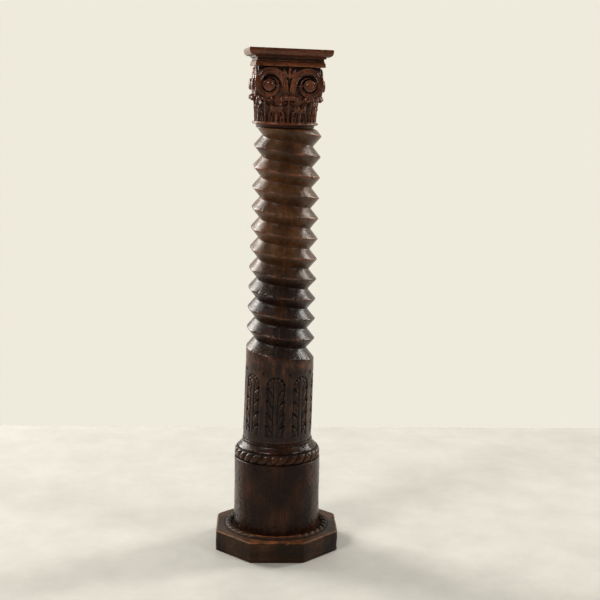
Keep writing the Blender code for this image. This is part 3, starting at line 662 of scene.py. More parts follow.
def shaft_rows():
    """Height of each of the shaft's points, how far its column has travelled and its row has turned.

    Rows lie level in the carved foot and follow the thread above it.
    """
    foot_top = SCREW_START_HEIGHT - 0.002
    foot_rows = np.linspace(0.0, foot_top, SHAFT_FOOT_ROWS)
    turns = math.ceil((SHAFT_LENGTH - SCREW_START_HEIGHT) / SCREW_PITCH) + 1
    thread = np.array([k + phase for k in range(turns) for phase in SCREW_PHASES])
    travelled = np.arange(SHAFT_COLUMNS + 1) / SHAFT_COLUMNS
    columns = []
    for share in travelled:
        helical = SCREW_START_HEIGHT + SCREW_PITCH * (thread + share)
        joining = np.linspace(foot_top, helical[0], SHAFT_JOIN_ROWS + 2)[1:-1]
        columns.append(np.concatenate([foot_rows, joining, helical]))
    height = np.minimum(np.array(columns).T, SHAFT_LENGTH)
    turned = np.concatenate([np.zeros(SHAFT_FOOT_ROWS + SHAFT_JOIN_ROWS), thread])
    return height, travelled, turned[:, None]


def panel_cuts(angle, height):
    """Depth of the carving in the shaft's foot: a panel on each side and a teardrop between each two."""
    bearing = (angle - PANEL_TURN - math.radians(FRONT_DEGREES)) * PANEL_COUNT / (2 * np.pi)
    off = (bearing - np.round(bearing)) * 2 * np.pi / PANEL_COUNT * shaft_radius(height)
    between = (bearing + 0.5 - np.round(bearing + 0.5)) * 2 * np.pi / PANEL_COUNT * shaft_radius(height)
    tear = stroke(between, height, (0.0, TEARDROP_HEIGHT - TEARDROP_LENGTH / 2),
                  (0.0, TEARDROP_HEIGHT + TEARDROP_LENGTH / 2), TEARDROP_WIDTH, TEARDROP_DEPTH, 0.7)
    return np.maximum(panel_cut(off, height), tear)


def build_shaft(material):
    """The shaft, with its carved foot and its left-handed thread."""
    height, travelled, turned = shaft_rows()
    angle = np.broadcast_to(SCREW_START_ANGLE - 2 * np.pi * travelled, height.shape)
    threaded = np.arange(len(height))[:, None] >= SHAFT_FOOT_ROWS + SHAFT_JOIN_ROWS
    phase = turned % 1.0
    opened = np.clip((turned + travelled) * 2 * np.pi / SCREW_RUN_OUT, 0, 1)
    opened = np.where(threaded, opened * opened * (3 - 2 * opened), 0.0)
    valley = 1 - np.abs(2 * phase - 1)
    valley = np.sqrt(valley ** 2 + CREST_WEAR ** 2) - CREST_WEAR
    valley = np.minimum(valley, 1 - CREST_WEAR * 1.6)
    radius = shaft_radius(height) - SCREW_DEPTH * opened * valley
    cut = np.where(threaded, 0.0, panel_cuts(angle, height))
    points = round_points(radius, angle, height)
    worn = unevenness(points, SHAFT_UNEVEN)
    chipped = chips(points, *SHAFT_CHIPS) * (valley < CHIPPED_CREST) * threaded
    split = cracks(angle, radius, height)
    cut = cut * (1 + CUT_UNEVEN * waves(points, 0.02, 14))
    radius = radius - cut - SHAFT_INSET + worn - chipped - CRACK_DEPTH * split
    radius = np.minimum(radius, shaft_radius(height))
    from_end = np.minimum(height, SHAFT_LENGTH - height)
    easing = smooth_step(from_end, 0.0, SHAFT_END_EASE)
    radius = radius - (1 - easing) * SHAFT_END_INSET
    points = round_points(radius, angle, height)

    flat = points[:, :-1].reshape(-1, 3)
    bottom, top = len(flat), len(flat) + 1
    flat = np.concatenate([flat, [[0.0, 0.0, 0.0], [0.0, 0.0, SHAFT_LENGTH]]])
    mesh = bpy.data.meshes.new("shaft_carved")
    mesh.from_pydata(flat.tolist(), [], shaft_faces(height, bottom))
    close_top(mesh, top)
    level_foot(mesh)
    mesh.shade_smooth()
    weather_shaft(mesh)
    mesh.transform(LEAN)
    return add_piece("shaft", mesh, material)


def shaft_faces(height, bottom):
    """Faces of the shaft. Round the seam, each row of the thread meets the row one turn above it."""
    rows, columns = len(height), height.shape[1] - 1
    ids = np.arange(rows * columns).reshape(rows, columns)
    faces = np.stack([ids[:-1, 1:], ids[:-1, :-1], ids[1:, :-1], ids[1:, 1:]], -1).reshape(-1, 4).tolist()
    last, first = ids[:, -1].tolist(), ids[:, 0].tolist()
    start = SHAFT_FOOT_ROWS + SHAFT_JOIN_ROWS
    per_turn = len(SCREW_PHASES)
    for low, high, rise in ((0, SHAFT_FOOT_ROWS - 1, 0), (start, rows - 1 - per_turn, per_turn)):
        for j in range(low, high):
            faces.append([first[j + rise], last[j], last[j + 1], first[j + rise + 1]])
    faces += zipped(last[SHAFT_FOOT_ROWS - 1:start + 1], first[SHAFT_FOOT_ROWS - 1:start + per_turn + 1],
                    height[:, -2], height[:, 0], columns)
    rim = ids[0].tolist()
    return faces + [[bottom, a, b] for a, b in zip(rim, rim[1:] + rim[:1])]


def weather_shaft(mesh):
    """Wear, dark wax and tone of the shaft, with a rubbed crest line, red streaks, carved cuts and cracks
    darkened as painted shade, and a painted warm glow in the thread's roots.
    """
    points = mesh_arrays(mesh)[0]
    height = points[:, 2]
    radius = np.hypot(points[:, 0], points[:, 1])
    bearing = np.arctan2(points[:, 1], points[:, 0]) - math.radians(FRONT_DEGREES)
    tone = smooth_step(height, 0.36, 0.66) * 0.9
    tone = np.clip(tone + 0.16 * waves(points, 0.07, 15), 0, 1)
    crest = smooth_step(radius - shaft_radius(height), -0.0030, -0.0014) * smooth_step(height, 0.225, 0.235)
    rubbed = crest * np.clip(0.62 + 0.4 * waves(points, 0.05, 16), 0.1, 0.95) * (0.35 + 0.65 * tone)
    # The cuts of the carved foot are darkened: painted shade in the carving
    sunk_wax_and_shade = np.clip(shaft_radius(height) - radius - 0.0010, 0, 0.0018) / 0.0018 * (height < 0.222)
    carved = np.exp(-((height - 0.125) / 0.085) ** 4)
    carved = carved * np.clip(0.35 + 0.5 * waves(points, (0.012, 0.012, 0.05), 17), 0, 0.7)
    rubbed = np.maximum(rubbed, 0.28 * carved)
    for degrees, middle, half in STREAKS:
        turn = (bearing - math.radians(degrees) + np.pi) % (2 * np.pi) - np.pi
        streak = np.exp(-(turn * radius / half) ** 2 - ((height - middle) / 0.020) ** 2)
        rubbed = np.maximum(rubbed, 0.6 * streak * (height < 0.268))
    # The drying cracks are darkened along their lines: painted shade in them
    for degrees, low, high in CRACKS:
        turn = (bearing - math.radians(degrees) + np.pi) % (2 * np.pi) - np.pi
        line = np.clip(1.25 - np.abs(turn * radius) / CRACK_WIDTH, 0, 1) * (height > low) * (height < high)
        sunk_wax_and_shade = np.maximum(sunk_wax_and_shade, line)
    # The thread's roots get a painted warm glow: they take the worn colour and lose some of their dark
    root = smooth_step(shaft_radius(height) - radius, 0.012, 0.020) * smooth_step(height, 0.24, 0.26)
    rubbed = rubbed - 0.9 * (height < 0.008) - 0.9 * (height > SHAFT_LENGTH - 0.012)
    rubbed = rubbed + 0.16 * root * tone
    weather(mesh, tone, edge=0.0018, hollow=0.0022, rubbed=rubbed, sunk_wax_and_shade=sunk_wax_and_shade - 0.45 * root)


def zipped(left, right, left_height, right_height, columns):
    """Triangles between two runs of points that climb side by side but differ in number."""
    faces = []
    i = j = 0
    while i < len(left) - 1 or j < len(right) - 1:
        left_next = left_height[left[i + 1] // columns] if i < len(left) - 1 else math.inf
        right_next = right_height[right[j + 1] // columns] if j < len(right) - 1 else math.inf
        if left_next <= right_next:
            faces.append([right[j], left[i], left[i + 1]])
            i += 1
        else:
            faces.append([right[j], left[i], right[j + 1]])
            j += 1
    return faces


def close_top(mesh, centre):
    """Drop what was flattened onto the top plane, close it with a fan and drop faces folded together."""
    bm = bmesh.new()
    bm.from_mesh(mesh)
    bm.verts.ensure_lookup_table()
    middle = bm.verts[centre]
    flat = [face for face in bm.faces if all(v.co.z > SHAFT_LENGTH - FLATTENED for v in face.verts)]
    bmesh.ops.delete(bm, geom=flat, context="FACES_ONLY")
    loose = [v for v in bm.verts if not v.link_faces and v is not middle]
    bmesh.ops.delete(bm, geom=loose, context="VERTS")
    for edge in [e for e in bm.edges if len(e.link_faces) == 1]:
        a, b = edge.verts
        bm.faces.new((a, b, middle))
    for edge in [e for e in bm.edges if not e.link_faces]:
        bm.edges.remove(edge)
    bmesh.ops.dissolve_degenerate(bm, dist=1e-6, edges=bm.edges)
    high = [face for face in bm.faces if all(v.co.z > SHAFT_LENGTH - 0.002 for v in face.verts)]
    bmesh.ops.triangulate(bm, faces=high)
    twins = {}
    for face in bm.faces:
        if all(v.co.z > SHAFT_LENGTH - 1e-5 for v in face.verts):
            corners = frozenset(tuple(round(value, 6) for value in v.co) for v in face.verts)
            twins.setdefault(corners, []).append(face)
    folded = [face for group in twins.values() if len(group) > 1 for face in group]
    bmesh.ops.delete(bm, geom=folded, context="FACES")
    bmesh.ops.recalc_face_normals(bm, faces=bm.faces)
    bm.to_mesh(mesh)
    bm.free()


def level_foot(mesh):
    """Bring the shaft's lowest points down or up to the level seat under its leaning foot."""
    down = LEAN.to_3x3().inverted() @ Vector((0.0, 0.0, -1.0))
    points = mesh_arrays(mesh)[0]
    share = 1 - smooth_step(points[:, 2], 0.0, 0.02)
    slope = -(points[:, 0] * down.x + points[:, 1] * down.y) / down.z
    points[:, 2] += share * (slope + CLEARANCE)
    set_points(mesh, points)


def strand_profile(turns):
    """Height of a rope's strands, 1 on their backs and 0 in the seams between them."""
    off = np.abs(2 * (turns - np.floor(turns)) - 1)
    return np.sqrt(np.clip(1 - off ** 1.8, 0, 1))


def drum_profile(band_bottom, band_top):
    """Radius and height of each row of the drum, its band seat cut fine for the rope."""
    flare = DRUM_TOP - COLLAR_WEAR * 2 - band_top
    corners = [(DRUM_FOOT_RADIUS - DRUM_EDGE, DRUM_BOTTOM), (DRUM_FOOT_RADIUS, DRUM_BOTTOM + DRUM_EDGE)]
    corners += [(DRUM_RADIUS, band_bottom - 0.001), (DRUM_RADIUS - 0.001, band_bottom)]
    corners += [(BAND_SEAT_RADIUS, band_bottom + 0.0003), (BAND_SEAT_RADIUS, band_top - 0.0003)]
    for share in np.linspace(0, 1, 13):
        reach = COLLAR_RADIUS + (SHOULDER_RADIUS - COLLAR_RADIUS) * (1 - smooth_step(share, 0.0, 0.90))
        corners.append((float(reach), band_top + flare * share))
    corners += arc((COLLAR_RADIUS - COLLAR_WEAR, DRUM_TOP - COLLAR_WEAR * 1.2),
                   (COLLAR_WEAR * 1.35, COLLAR_WEAR * 1.2), -0.2, math.pi / 2, 4)
    profile = fine_profile(corners, DRUM_STEP)
    level = np.linspace(band_bottom + 0.0006, band_top - 0.0006, BAND_ROWS)
    below = profile[profile[:, 1] <= band_bottom + 0.0004]
    above = profile[profile[:, 1] >= band_top - 0.0004]
    middle = np.stack([np.full_like(level, BAND_SEAT_RADIUS), level], -1)
    return np.concatenate([below, middle, above])


def build_drum(material):
    """The plain drum, its roped band and its shoulder."""
    band_bottom = DRUM_BOTTOM + DRUM_PLAIN_HEIGHT
    band_top = band_bottom + BAND_HEIGHT
    profile = drum_profile(band_bottom, band_top)
    angle = 2 * np.pi * np.arange(DRUM_COLUMNS) / DRUM_COLUMNS
    radius = np.repeat(profile[:, :1], DRUM_COLUMNS, axis=1)
    height = np.repeat(profile[:, 1:], DRUM_COLUMNS, axis=1)
    across = (height - (band_bottom + band_top) / 2) / (BAND_HEIGHT / 2 - BAND_QUIRK)
    inside = np.abs(across) < 1
    round_part = np.sqrt(np.clip(1 - across ** 2, 0, 1))
    strands = strand_profile((angle - BAND_LAY * across) * BAND_STRANDS / (2 * np.pi))
    rope = BAND_RISE * round_part - BAND_GROOVE * (1 - strands) * np.minimum(1, round_part * 1.6)
    radius = radius + np.where(inside, rope, 0.0)
    points = round_points(radius, angle, height)
    radius = radius - DRUM_INSET + unevenness(points, DRUM_UNEVEN) - chips(points, *DRUM_BRUISES)
    points = round_points(radius, angle, height)
    mesh = turned_mesh("drum_carved", points)
    weather_drum(mesh, band_bottom, band_top)
    return add_piece("drum", mesh, material)


def weather_drum(mesh, band_bottom, band_top):
    """Tone of the drum, its rope lighter as painted light, with painted shade and dark wax in its rope's
    seams, and rubbed strands between them lightened as wear and painted highlights.
    """
    points = mesh_arrays(mesh)[0]
    height = points[:, 2]
    seams = BAND_SEAT_RADIUS + BAND_RISE * 0.35 - np.hypot(points[:, 0], points[:, 1])
    roped = (height > band_bottom) * (height < band_top)
    # The strands' backs take the worn colour as wear and painted highlights
    rubbed = 0.30 * roped * smooth_step(-seams, 0.0, 0.0030) - 0.8 * (height > DRUM_TOP - 0.008)
    # The rope is given a lighter tone, painted light; its seams take painted shade with dark wax
    weather(mesh, np.clip(0.3 + 0.3 * waves(points, 0.09, 24) + 0.5 * roped, 0, 1), edge=0.0009,
            rubbed=rubbed, sunk_wax_and_shade=0.9 * roped * smooth_step(seams, 0.0, 0.0030))


def octagon(angle):
    """Radius of the plinth's outline, its corners a little rubbed."""
    flat = PLINTH_WIDTH / 2
    slant = (PLINTH_WIDTH - PLINTH_CORNER_CUT) / math.sqrt(2)
    total = np.zeros_like(angle)
    for k in range(8):
        toward = np.maximum(np.cos(angle - k * math.pi / 4), 0.0) / (slant if k % 2 else flat)
        total += toward ** PLINTH_CORNER_SHARPNESS
    return total ** (-1 / PLINTH_CORNER_SHARPNESS)


def plinth_angles():
    """Column angles, closer together at the eight corners."""
    even = 2 * np.pi * np.arange(PLINTH_COLUMNS) / PLINTH_COLUMNS
    near = np.sin((even - math.pi / 8) * 8)
    return even - near * 0.085


def build_plinth(material):
    """The eight-sided slab with its roped ring."""
    angle = plinth_angles()
    outline = octagon(angle)
    side = [(0.0, z) for z in np.linspace(PLINTH_FOOT_EDGE[-1][1], PLINTH_HEIGHT - 0.0045, 18)[1:]]
    rows = [(outline - inset, np.full_like(angle, z)) for inset, z in [*PLINTH_FOOT_EDGE, *side]]
    rows += [(outline - inset, np.full_like(angle, PLINTH_HEIGHT + drop)) for inset, drop in PLINTH_RIM]
    ring_outer = RING_RADIUS + RING_HALF_WIDTH + RING_MARGIN
    flat = np.full_like(angle, PLINTH_HEIGHT)
    for share in np.linspace(0, 1, 12)[1:]:
        rows.append(((outline - PLINTH_RIM[-1][0]) * (1 - share) + ring_outer * share, flat))
    for radius in np.linspace(ring_outer, RING_RADIUS - RING_HALF_WIDTH - 0.001, 24)[1:]:
        rows.append((np.full_like(angle, radius), flat))
    rows += [(np.full_like(angle, radius), flat) for radius in (0.132, 0.120, 0.09, 0.05, 0.02)]
    radius = np.array([r for r, _ in rows])
    height = np.array([z for _, z in rows])
    points = round_points(radius, angle, height)
    across = (radius - RING_RADIUS) / RING_HALF_WIDTH
    on_top = (height > PLINTH_HEIGHT - ON_TOP) & (np.abs(across) < 1)
    arch = np.sqrt(np.clip(1 - across ** 2, 0, 1))
    rubbed = smooth_step(np.cos(angle - TRODDEN_BEARING), 0.80, 0.93)
    seams = RING_GROOVE * (1 - 0.85 * rubbed)
    strands = strand_profile((angle + RING_LAY * across) * RING_STRANDS / (2 * np.pi))
    height = height + np.where(on_top, RING_RISE * arch - seams * (1 - strands) * arch, 0.0)
    on_side = (height > 0.002) & (height < PLINTH_HEIGHT + ON_TOP) & (radius > ring_outer)
    uneven = unevenness(points, PLINTH_UNEVEN)
    near_rim = smooth_step(radius - outline, -0.02, -0.002)
    near_rim = near_rim * smooth_step(height, PLINTH_HEIGHT - 0.010, PLINTH_HEIGHT)
    chipped = chips(points, *PLINTH_CHIPS) * near_rim
    radius = radius - np.where(on_side, np.maximum(PLINTH_INSET - uneven, 0.0001) + chipped, 0.0)
    height = height - np.where(on_side, chipped * 0.6, 0.0)
    height = height + np.where(height >= PLINTH_HEIGHT - ON_TOP, -TOP_INSET + uneven * 0.4, 0.0)
    points = round_points(radius, angle, height)
    mesh = turned_mesh("plinth_carved", points)
    weather_plinth(mesh)
    return add_piece("plinth", mesh, material)


def weather_plinth(mesh):
    """Tone of the plinth, lighter on its top, with a rubbed rim, a trodden front, and dark wax with painted
    shade beside its ring.
    """
    points = mesh_arrays(mesh)[0]
    reach = np.hypot(points[:, 0], points[:, 1])
    bearing = np.arctan2(points[:, 1], points[:, 0])
    off_ring = reach - RING_RADIUS
    on_top = smooth_step(points[:, 2], PLINTH_HEIGHT - 0.0022, PLINTH_HEIGHT - 0.0004)
    front = smooth_step(np.cos(bearing - TRODDEN_BEARING), 0.80, 0.96) * on_top
    uneven = np.clip(0.40 + 0.15 * waves(points, 0.03, 35), 0, 1)
    trodden = front * smooth_step(reach, 0.139, 0.143) * uneven
    inner_back = front * ridge(off_ring + 0.0036, 0.0062)
    outer_back = front * ridge(off_ring - 0.0060 - 0.0012 * waves(points, 0.02, 36), 0.0030)
    rim = on_top * smooth_step(reach - octagon(bearing), -0.0052, -0.0030)
    rubbed = np.maximum(np.maximum(trodden * 0.6, inner_back * 1.2), rim * 0.75)
    # Beside the ring, and outside it at the front, painted shade with dark wax
    gap = smooth_step(-off_ring, RING_HALF_WIDTH - 0.002, RING_HALF_WIDTH)
    gap = np.maximum(gap, ridge(off_ring - RING_HALF_WIDTH, 0.0020))
    weather(mesh, np.clip(0.35 + 0.45 * on_top + 0.25 * waves(points, 0.08, 34), 0, 1), edge=0.0008,
            rubbed=rubbed - 0.9 * (points[:, 2] < 0.010), sunk_wax_and_shade=np.maximum(gap * on_top, outer_back) * 0.85)


def rounded_square(half_width, corner):
    """Outline of a square with rounded corners, anticlockwise, as x and y for each row."""
    along = np.linspace(-1, 1, 41)[:-1]
    bend = np.linspace(0, math.pi / 2, 7)[:-1]
    reach = np.maximum(half_width - corner, 0.0)[:, None]
    corner = corner[:, None]
    side_x = np.repeat(reach + corner, len(along), axis=1)
    side_y = reach * along
    arc_x = reach + corner * np.cos(bend)
    arc_y = reach + corner * np.sin(bend)
    x, y = np.concatenate([side_x, arc_x], 1), np.concatenate([side_y, arc_y], 1)
    parts = []
    for _ in range(4):
        parts.append((x, y))
        x, y = -y, x
    return np.concatenate([p[0] for p in parts], 1), np.concatenate([p[1] for p in parts], 1)


def build_abacus(material):
    """The square moulded top with its corners and edges rubbed."""
    height = (ABACUS_FASCIA + ABACUS_OVOLO_HEIGHT + ABACUS_FILLET_HEIGHT + ABACUS_NECK_HEIGHT
              + ABACUS_CYMA_HEIGHT + ABACUS_FOOT_HEIGHT)
    level = height - ABACUS_FASCIA
    ovolo_foot = ABACUS_HALF_WIDTH - ABACUS_OVOLO_DEPTH
    corners = [(ABACUS_HALF_WIDTH - ABACUS_EDGE, height), (ABACUS_HALF_WIDTH - 0.0006, height - 0.0006)]
    corners += [(ABACUS_HALF_WIDTH, height - ABACUS_EDGE), (ABACUS_HALF_WIDTH, level + 0.0008)]
    corners += arc((ovolo_foot, level), (ABACUS_OVOLO_DEPTH - 0.0004, ABACUS_OVOLO_HEIGHT),
                   0.0, -math.pi / 2, 8)
    level -= ABACUS_OVOLO_HEIGHT
    fillet = ovolo_foot - ABACUS_FILLET_STEP
    corners += [(fillet, level - 0.0002), (fillet, level - ABACUS_FILLET_HEIGHT)]
    level -= ABACUS_FILLET_HEIGHT
    neck = ABACUS_NECK_HALF_WIDTH
    corners += [(neck, level - 0.0003), (neck, level - ABACUS_NECK_HEIGHT)]
    level -= ABACUS_NECK_HEIGHT
    foot = neck + ABACUS_CYMA_DEPTH
    bead = ABACUS_BEAD / 2
    corners += arc((neck, level - bead), (bead, bead), math.pi / 2, -math.pi / 2, 6)
    corners += [(foot - 0.0018, level - ABACUS_CYMA_HEIGHT), (foot, 0.0014), (foot - 0.0014, 0.0)]
    profile = fine_profile(corners[::-1], ABACUS_STEP)
    cap = np.linspace(profile[-1][0], 0.004, 22)[1:]
    profile = np.concatenate([profile, np.stack([cap, np.full_like(cap, height)], -1)])
    corner = np.minimum(ABACUS_CORNER_WEAR, profile[:, 0] * 0.5)
    x, y = rounded_square(profile[:, 0], corner)
    points = np.stack([x, y, np.repeat(profile[:, 1:], x.shape[1], axis=1)], -1)
    reach = np.maximum(np.abs(x), np.abs(y))
    tip = smooth_step(points[..., 2], height - 0.012, height) * smooth_step(reach, 0.11, 0.118)
    uneven = unevenness(points, ABACUS_UNEVEN) - ABACUS_INSET
    shrink = 1 + (uneven - chips(points, *ABACUS_CHIPS) * tip) / np.maximum(reach, 0.02)
    inner = points[..., 2] > height - ON_TOP
    shrink = np.where(inner, 1.0, shrink)
    points[..., :2] *= shrink[..., None]
    points[..., 2] -= np.where(inner, TOP_INSET - 0.00012 * waves(points, 0.03, 43), 0.0)
    mesh = turned_mesh("abacus_carved", points)
    weather_abacus(mesh)
    mesh.transform(ABACUS_FRAME)
    return add_piece("abacus", mesh, material)


def weather_abacus(mesh):
    """Tone of the abacus, painted highlights along its bead and fillet, and painted shade in the quirks
    beside them.
    """
    points = mesh_arrays(mesh)[0]
    height = points[:, 2]
    bead_level = ABACUS_FOOT_HEIGHT + ABACUS_CYMA_HEIGHT - ABACUS_BEAD / 2
    fillet_level = bead_level + ABACUS_BEAD / 2 + ABACUS_NECK_HEIGHT + ABACUS_FILLET_HEIGHT / 2
    # Painted highlights: the bead and the fillet take the worn colour
    lit = 0.45 * ridge(height - bead_level, 0.0014) + 0.35 * ridge(height - fillet_level, 0.0018)
    # Painted shade in the quirks beside the bead, the fillet and the foot
    shade = ridge(height - bead_level - 0.0048, 0.0022) + ridge(height - fillet_level - 0.0031, 0.0010)
    shade = shade + ridge(height - ABACUS_FOOT_HEIGHT - 0.0007, 0.0010)
    outer = np.maximum(np.abs(points[:, 0]), np.abs(points[:, 1])) > ABACUS_NECK_HALF_WIDTH - 0.0045
    weather(mesh, np.clip(0.4 + 0.35 * waves(points, 0.06, 44), 0, 1), edge=0.0008, hollow=0.0008,
            rubbed=lit * outer, sunk_wax_and_shade=0.85 * shade * outer)


def bell_radius(height):
    """Radius of the bell at a height above the capital's seat."""
    share = np.clip((height - NECK_HEIGHT - ASTRAGAL_HEIGHT) / BELL_HEIGHT, 0.0, 1.0)
    return BELL_FOOT_RADIUS + (BELL_LIP_RADIUS - BELL_FOOT_RADIUS) * share * share


def bell_form():
    """The capital's turned core: neck, astragal and bell."""
    bead = ASTRAGAL_HEIGHT / 2
    bell_bottom = NECK_HEIGHT + ASTRAGAL_HEIGHT
    corners = [(NECK_RADIUS, 0.0004), (NECK_RADIUS, NECK_HEIGHT)]
    corners += arc((ASTRAGAL_RADIUS - bead, NECK_HEIGHT + bead), (bead, bead), -math.pi / 2, math.pi / 2, 8)
    for share in np.linspace(0, 1, 12):
        level = bell_bottom + BELL_HEIGHT * share
        corners.append((float(bell_radius(level)), level))
    profile = fine_profile(corners, BELL_STEP)
    angle = 2 * np.pi * np.arange(BELL_COLUMNS) / BELL_COLUMNS
    level = np.repeat(profile[:, 1:], BELL_COLUMNS, axis=1)
    return closed_loft(round_points(profile[:, :1], angle, level))


def sheet_form(front, back):
    """A closed form between a front and a back grid of points, both seen from the front."""
    rows, columns = front.shape[:2]
    ids = np.arange(rows * columns).reshape(rows, columns)
    front_faces = np.stack([ids[:-1, :-1], ids[:-1, 1:], ids[1:, 1:], ids[1:, :-1]], -1).reshape(-1, 4)
    back_faces = front_faces[:, ::-1] + rows * columns
    rim = [*ids[0, :-1], *ids[:-1, -1], *ids[-1, :0:-1], *ids[:0:-1, 0]]
    sides = []
    for i, a in enumerate(rim):
        b = rim[(i + 1) % len(rim)]
        sides.append([int(b), int(a), int(a) + rows * columns, int(b) + rows * columns])
    faces = front_faces.tolist() + back_faces.tolist() + sides
    return np.concatenate([front.reshape(-1, 3), back.reshape(-1, 3)]), faces


def ridge(distance, width):
    """A rounded ridge of height 1."""
    return np.exp(-(distance / width) ** 2)


def great_leaf(turn_angle, seed):
    """An acanthus leaf, its flutes climbing from a narrow foot into side lobes and a crown that curls out."""
    v, u = share_grid(64, 57, -1.0)
    side = np.abs(u)
    outline = np.interp(v, *GREAT_LEAF_OUTLINE)
    lobed = smooth_step(v, 0.30, 0.42) * smooth_step(-v, -0.78, -0.70)
    outline = outline + 0.0012 * np.sin(v * 46 + seed) * lobed
    bottom = NECK_HEIGHT + ASTRAGAL_HEIGHT * 0.8
    bend = smooth_step(v, 0.74, 1.0)
    lobe_rise = 0.0060 * smooth_step(side, 0.45, 1.0) * ridge(v - 0.56, 0.16)
    level = bottom + GREAT_LEAF_RISE * v - lobe_rise - 0.0075 * bend ** 2 - 0.0035 * bend * side ** 2
    base = bell_radius(level) + 0.0036 + 0.0030 * v + 0.0085 * bend ** 1.3
    flutes = np.cos(u * math.pi / 0.40)
    relief = FLUTE_DEPTH * np.sign(flutes) * np.abs(flutes) ** 0.7 - 0.0006
    relief = relief * (1 - 0.55 * bend) + 0.0016 * ridge(u, 0.10)
    relief += 0.0034 * smooth_step(side, 0.30, 0.85) * ridge(v - 0.56, 0.10)
    crown = smooth_step(v, 0.80, 0.90)
    knobs = np.abs(np.cos(u * math.pi * 1.5)) ** 0.8
    relief += crown * (0.0050 * knobs - 0.0012)
    relief -= 0.0050 * ridge(v - 0.79, 0.040) * smooth_step(side, 0.10, 0.24)
    for eye_u, eye_v in GREAT_LEAF_EYES:
        relief -= EYE_DEPTH * np.exp(-((side - eye_u) / 0.11) ** 2 - ((v - eye_v) / 0.045) ** 2)
    relief *= 1 - 0.4 * smooth_step(side, 0.90, 1.0)
    base = base - 0.0022 * smooth_step(side, 0.75, 1.0) * (1 - bend)
    angle = turn_angle + outline * u / base
    front = round_points(base + relief, angle, level + 0.0022 * crown * knobs)
    inner = base - GREAT_LEAF_THICKNESS + 0.0025 * bend
    back = round_points(inner, angle, level - 0.0035 * bend)
    return sheet_form(front, back)


def crown_knob(turn_angle, across, level):
    """One of the rounded leaf tips that roll over along a great leaf's crown."""
    v, a = lobe_grid(0.04, 0.96, 15, 22)
    out = CROWN_DEPTH * np.sin(v * math.pi) * np.cos(a)
    along = CROWN_WIDTH * np.sin(v * math.pi) * np.sin(a)
    rise = -CROWN_RISE * np.cos(v * math.pi) - 0.0022 * (out / CROWN_DEPTH)
    reach = bell_radius(level) + CROWN_REACH - 0.0030 * (across / 0.02) ** 2 + out
    angle = turn_angle + (across + along) / reach
    return closed_loft(round_points(reach, angle, level + rise))


def small_leaf(turn_angle):
    """A pointed leaf between two great ones, its petals laid up beside a midrib."""
    v, u = share_grid(40, 37, -1.0)
    side = np.abs(u)
    outline = np.interp(v, *SMALL_LEAF_OUTLINE) * (1 + 0.08 * np.sin(v * 20))
    bottom = NECK_HEIGHT + ASTRAGAL_HEIGHT * 0.8
    level = bottom + SMALL_LEAF_RISE * v - 0.0030 * side * smooth_step(v, 0.1, 0.5)
    base = bell_radius(level) + 0.0030 + 0.0020 * v
    relief = 0.0030 * np.cos((side - 0.25 * v) * math.pi / 0.42) - 0.0004
    relief = relief + 0.0016 * ridge(u, 0.14) - 0.0030 * smooth_step(side, 0.86, 1.0)
    angle = turn_angle + outline * u / base
    front = round_points(base + relief, angle, level)
    return sheet_form(front, round_points(base - SMALL_LEAF_THICKNESS, angle, level))


def volute_relief(radius, turned):
    """Height of a volute's face at a radius from its eye, where its band has turned an angle."""
    outer = np.interp(turned, VOLUTE_TURN, VOLUTE_OUTER_EDGE)
    inner = np.interp(turned, VOLUTE_TURN, VOLUTE_INNER_EDGE)
    second = np.interp(turned + 2 * math.pi, VOLUTE_TURN, VOLUTE_OUTER_EDGE)
    share = (radius - inner) / np.maximum(outer - inner, 1e-6)
    band = -0.0006 - 0.0022 * np.sin(np.clip(share, 0, 1) * math.pi) ** 0.8
    band = band - 0.0030 * smooth_step(share, 0.93, 1.0)
    band = band - LINE_DEPTH * ridge(share - 0.82, 0.10) - 0.0030 * ridge(share - 0.20, 0.10)
    relief = np.where(radius >= inner, band, -VOLUTE_GROOVE)
    rise = (radius - EYE_RING) / np.maximum(second - EYE_RING, 1e-6)
    second_band = -0.0022 + 0.0018 * np.sin(np.clip(rise, 0, 1) * math.pi) ** 0.8
    relief = np.where((radius >= EYE_RING) & (radius < second) & (radius < inner), second_band, relief)
    relief = np.where((radius < EYE_RING) & (radius >= EYE_RADIUS), -VOLUTE_GROOVE, relief)
    dome = EYE_PROJECTION * (1 - 0.45 * (radius / EYE_RADIUS) ** 5) - 0.0012
    curl = EYE_RADIUS * (0.86 - 0.62 * ((turned + 1.4) % (2 * math.pi)) / (2 * math.pi))
    dome = dome - 0.0030 * ridge(radius - curl, 0.0016)
    return np.where(radius < EYE_RADIUS, dome, relief)


def volute(face_frame, side):
    """One volute as a closed form, its face wound round a raised eye."""
    turned = np.linspace(0, 2 * math.pi, 121)[:-1]
    outer = np.interp(turned, VOLUTE_TURN, VOLUTE_OUTER_EDGE)
    share = np.linspace(0.02, 1.0, 54)[:, None]
    radius = share * outer
    level = volute_relief(radius, np.broadcast_to(turned, radius.shape))
    wall = [(outer - 0.0002, level[-1] - 0.003), (outer - 0.002, np.full_like(outer, -0.014)),
            (outer - 0.004, np.full_like(outer, -VOLUTE_THICKNESS))]
    radius = np.concatenate([radius, [r for r, _ in wall]])
    level = np.concatenate([level, [z for _, z in wall]])
    angle = math.pi - turned
    x = side * radius * np.cos(angle) + side * VOLUTE_SPACING / 2
    y = radius * np.sin(angle) + VOLUTE_EYE_HEIGHT
    points = np.stack([x, y, level], -1)
    if side < 0:
        points = points[:, ::-1]
    points, faces = closed_loft(points[::-1])
    return moved(points, face_frame), faces


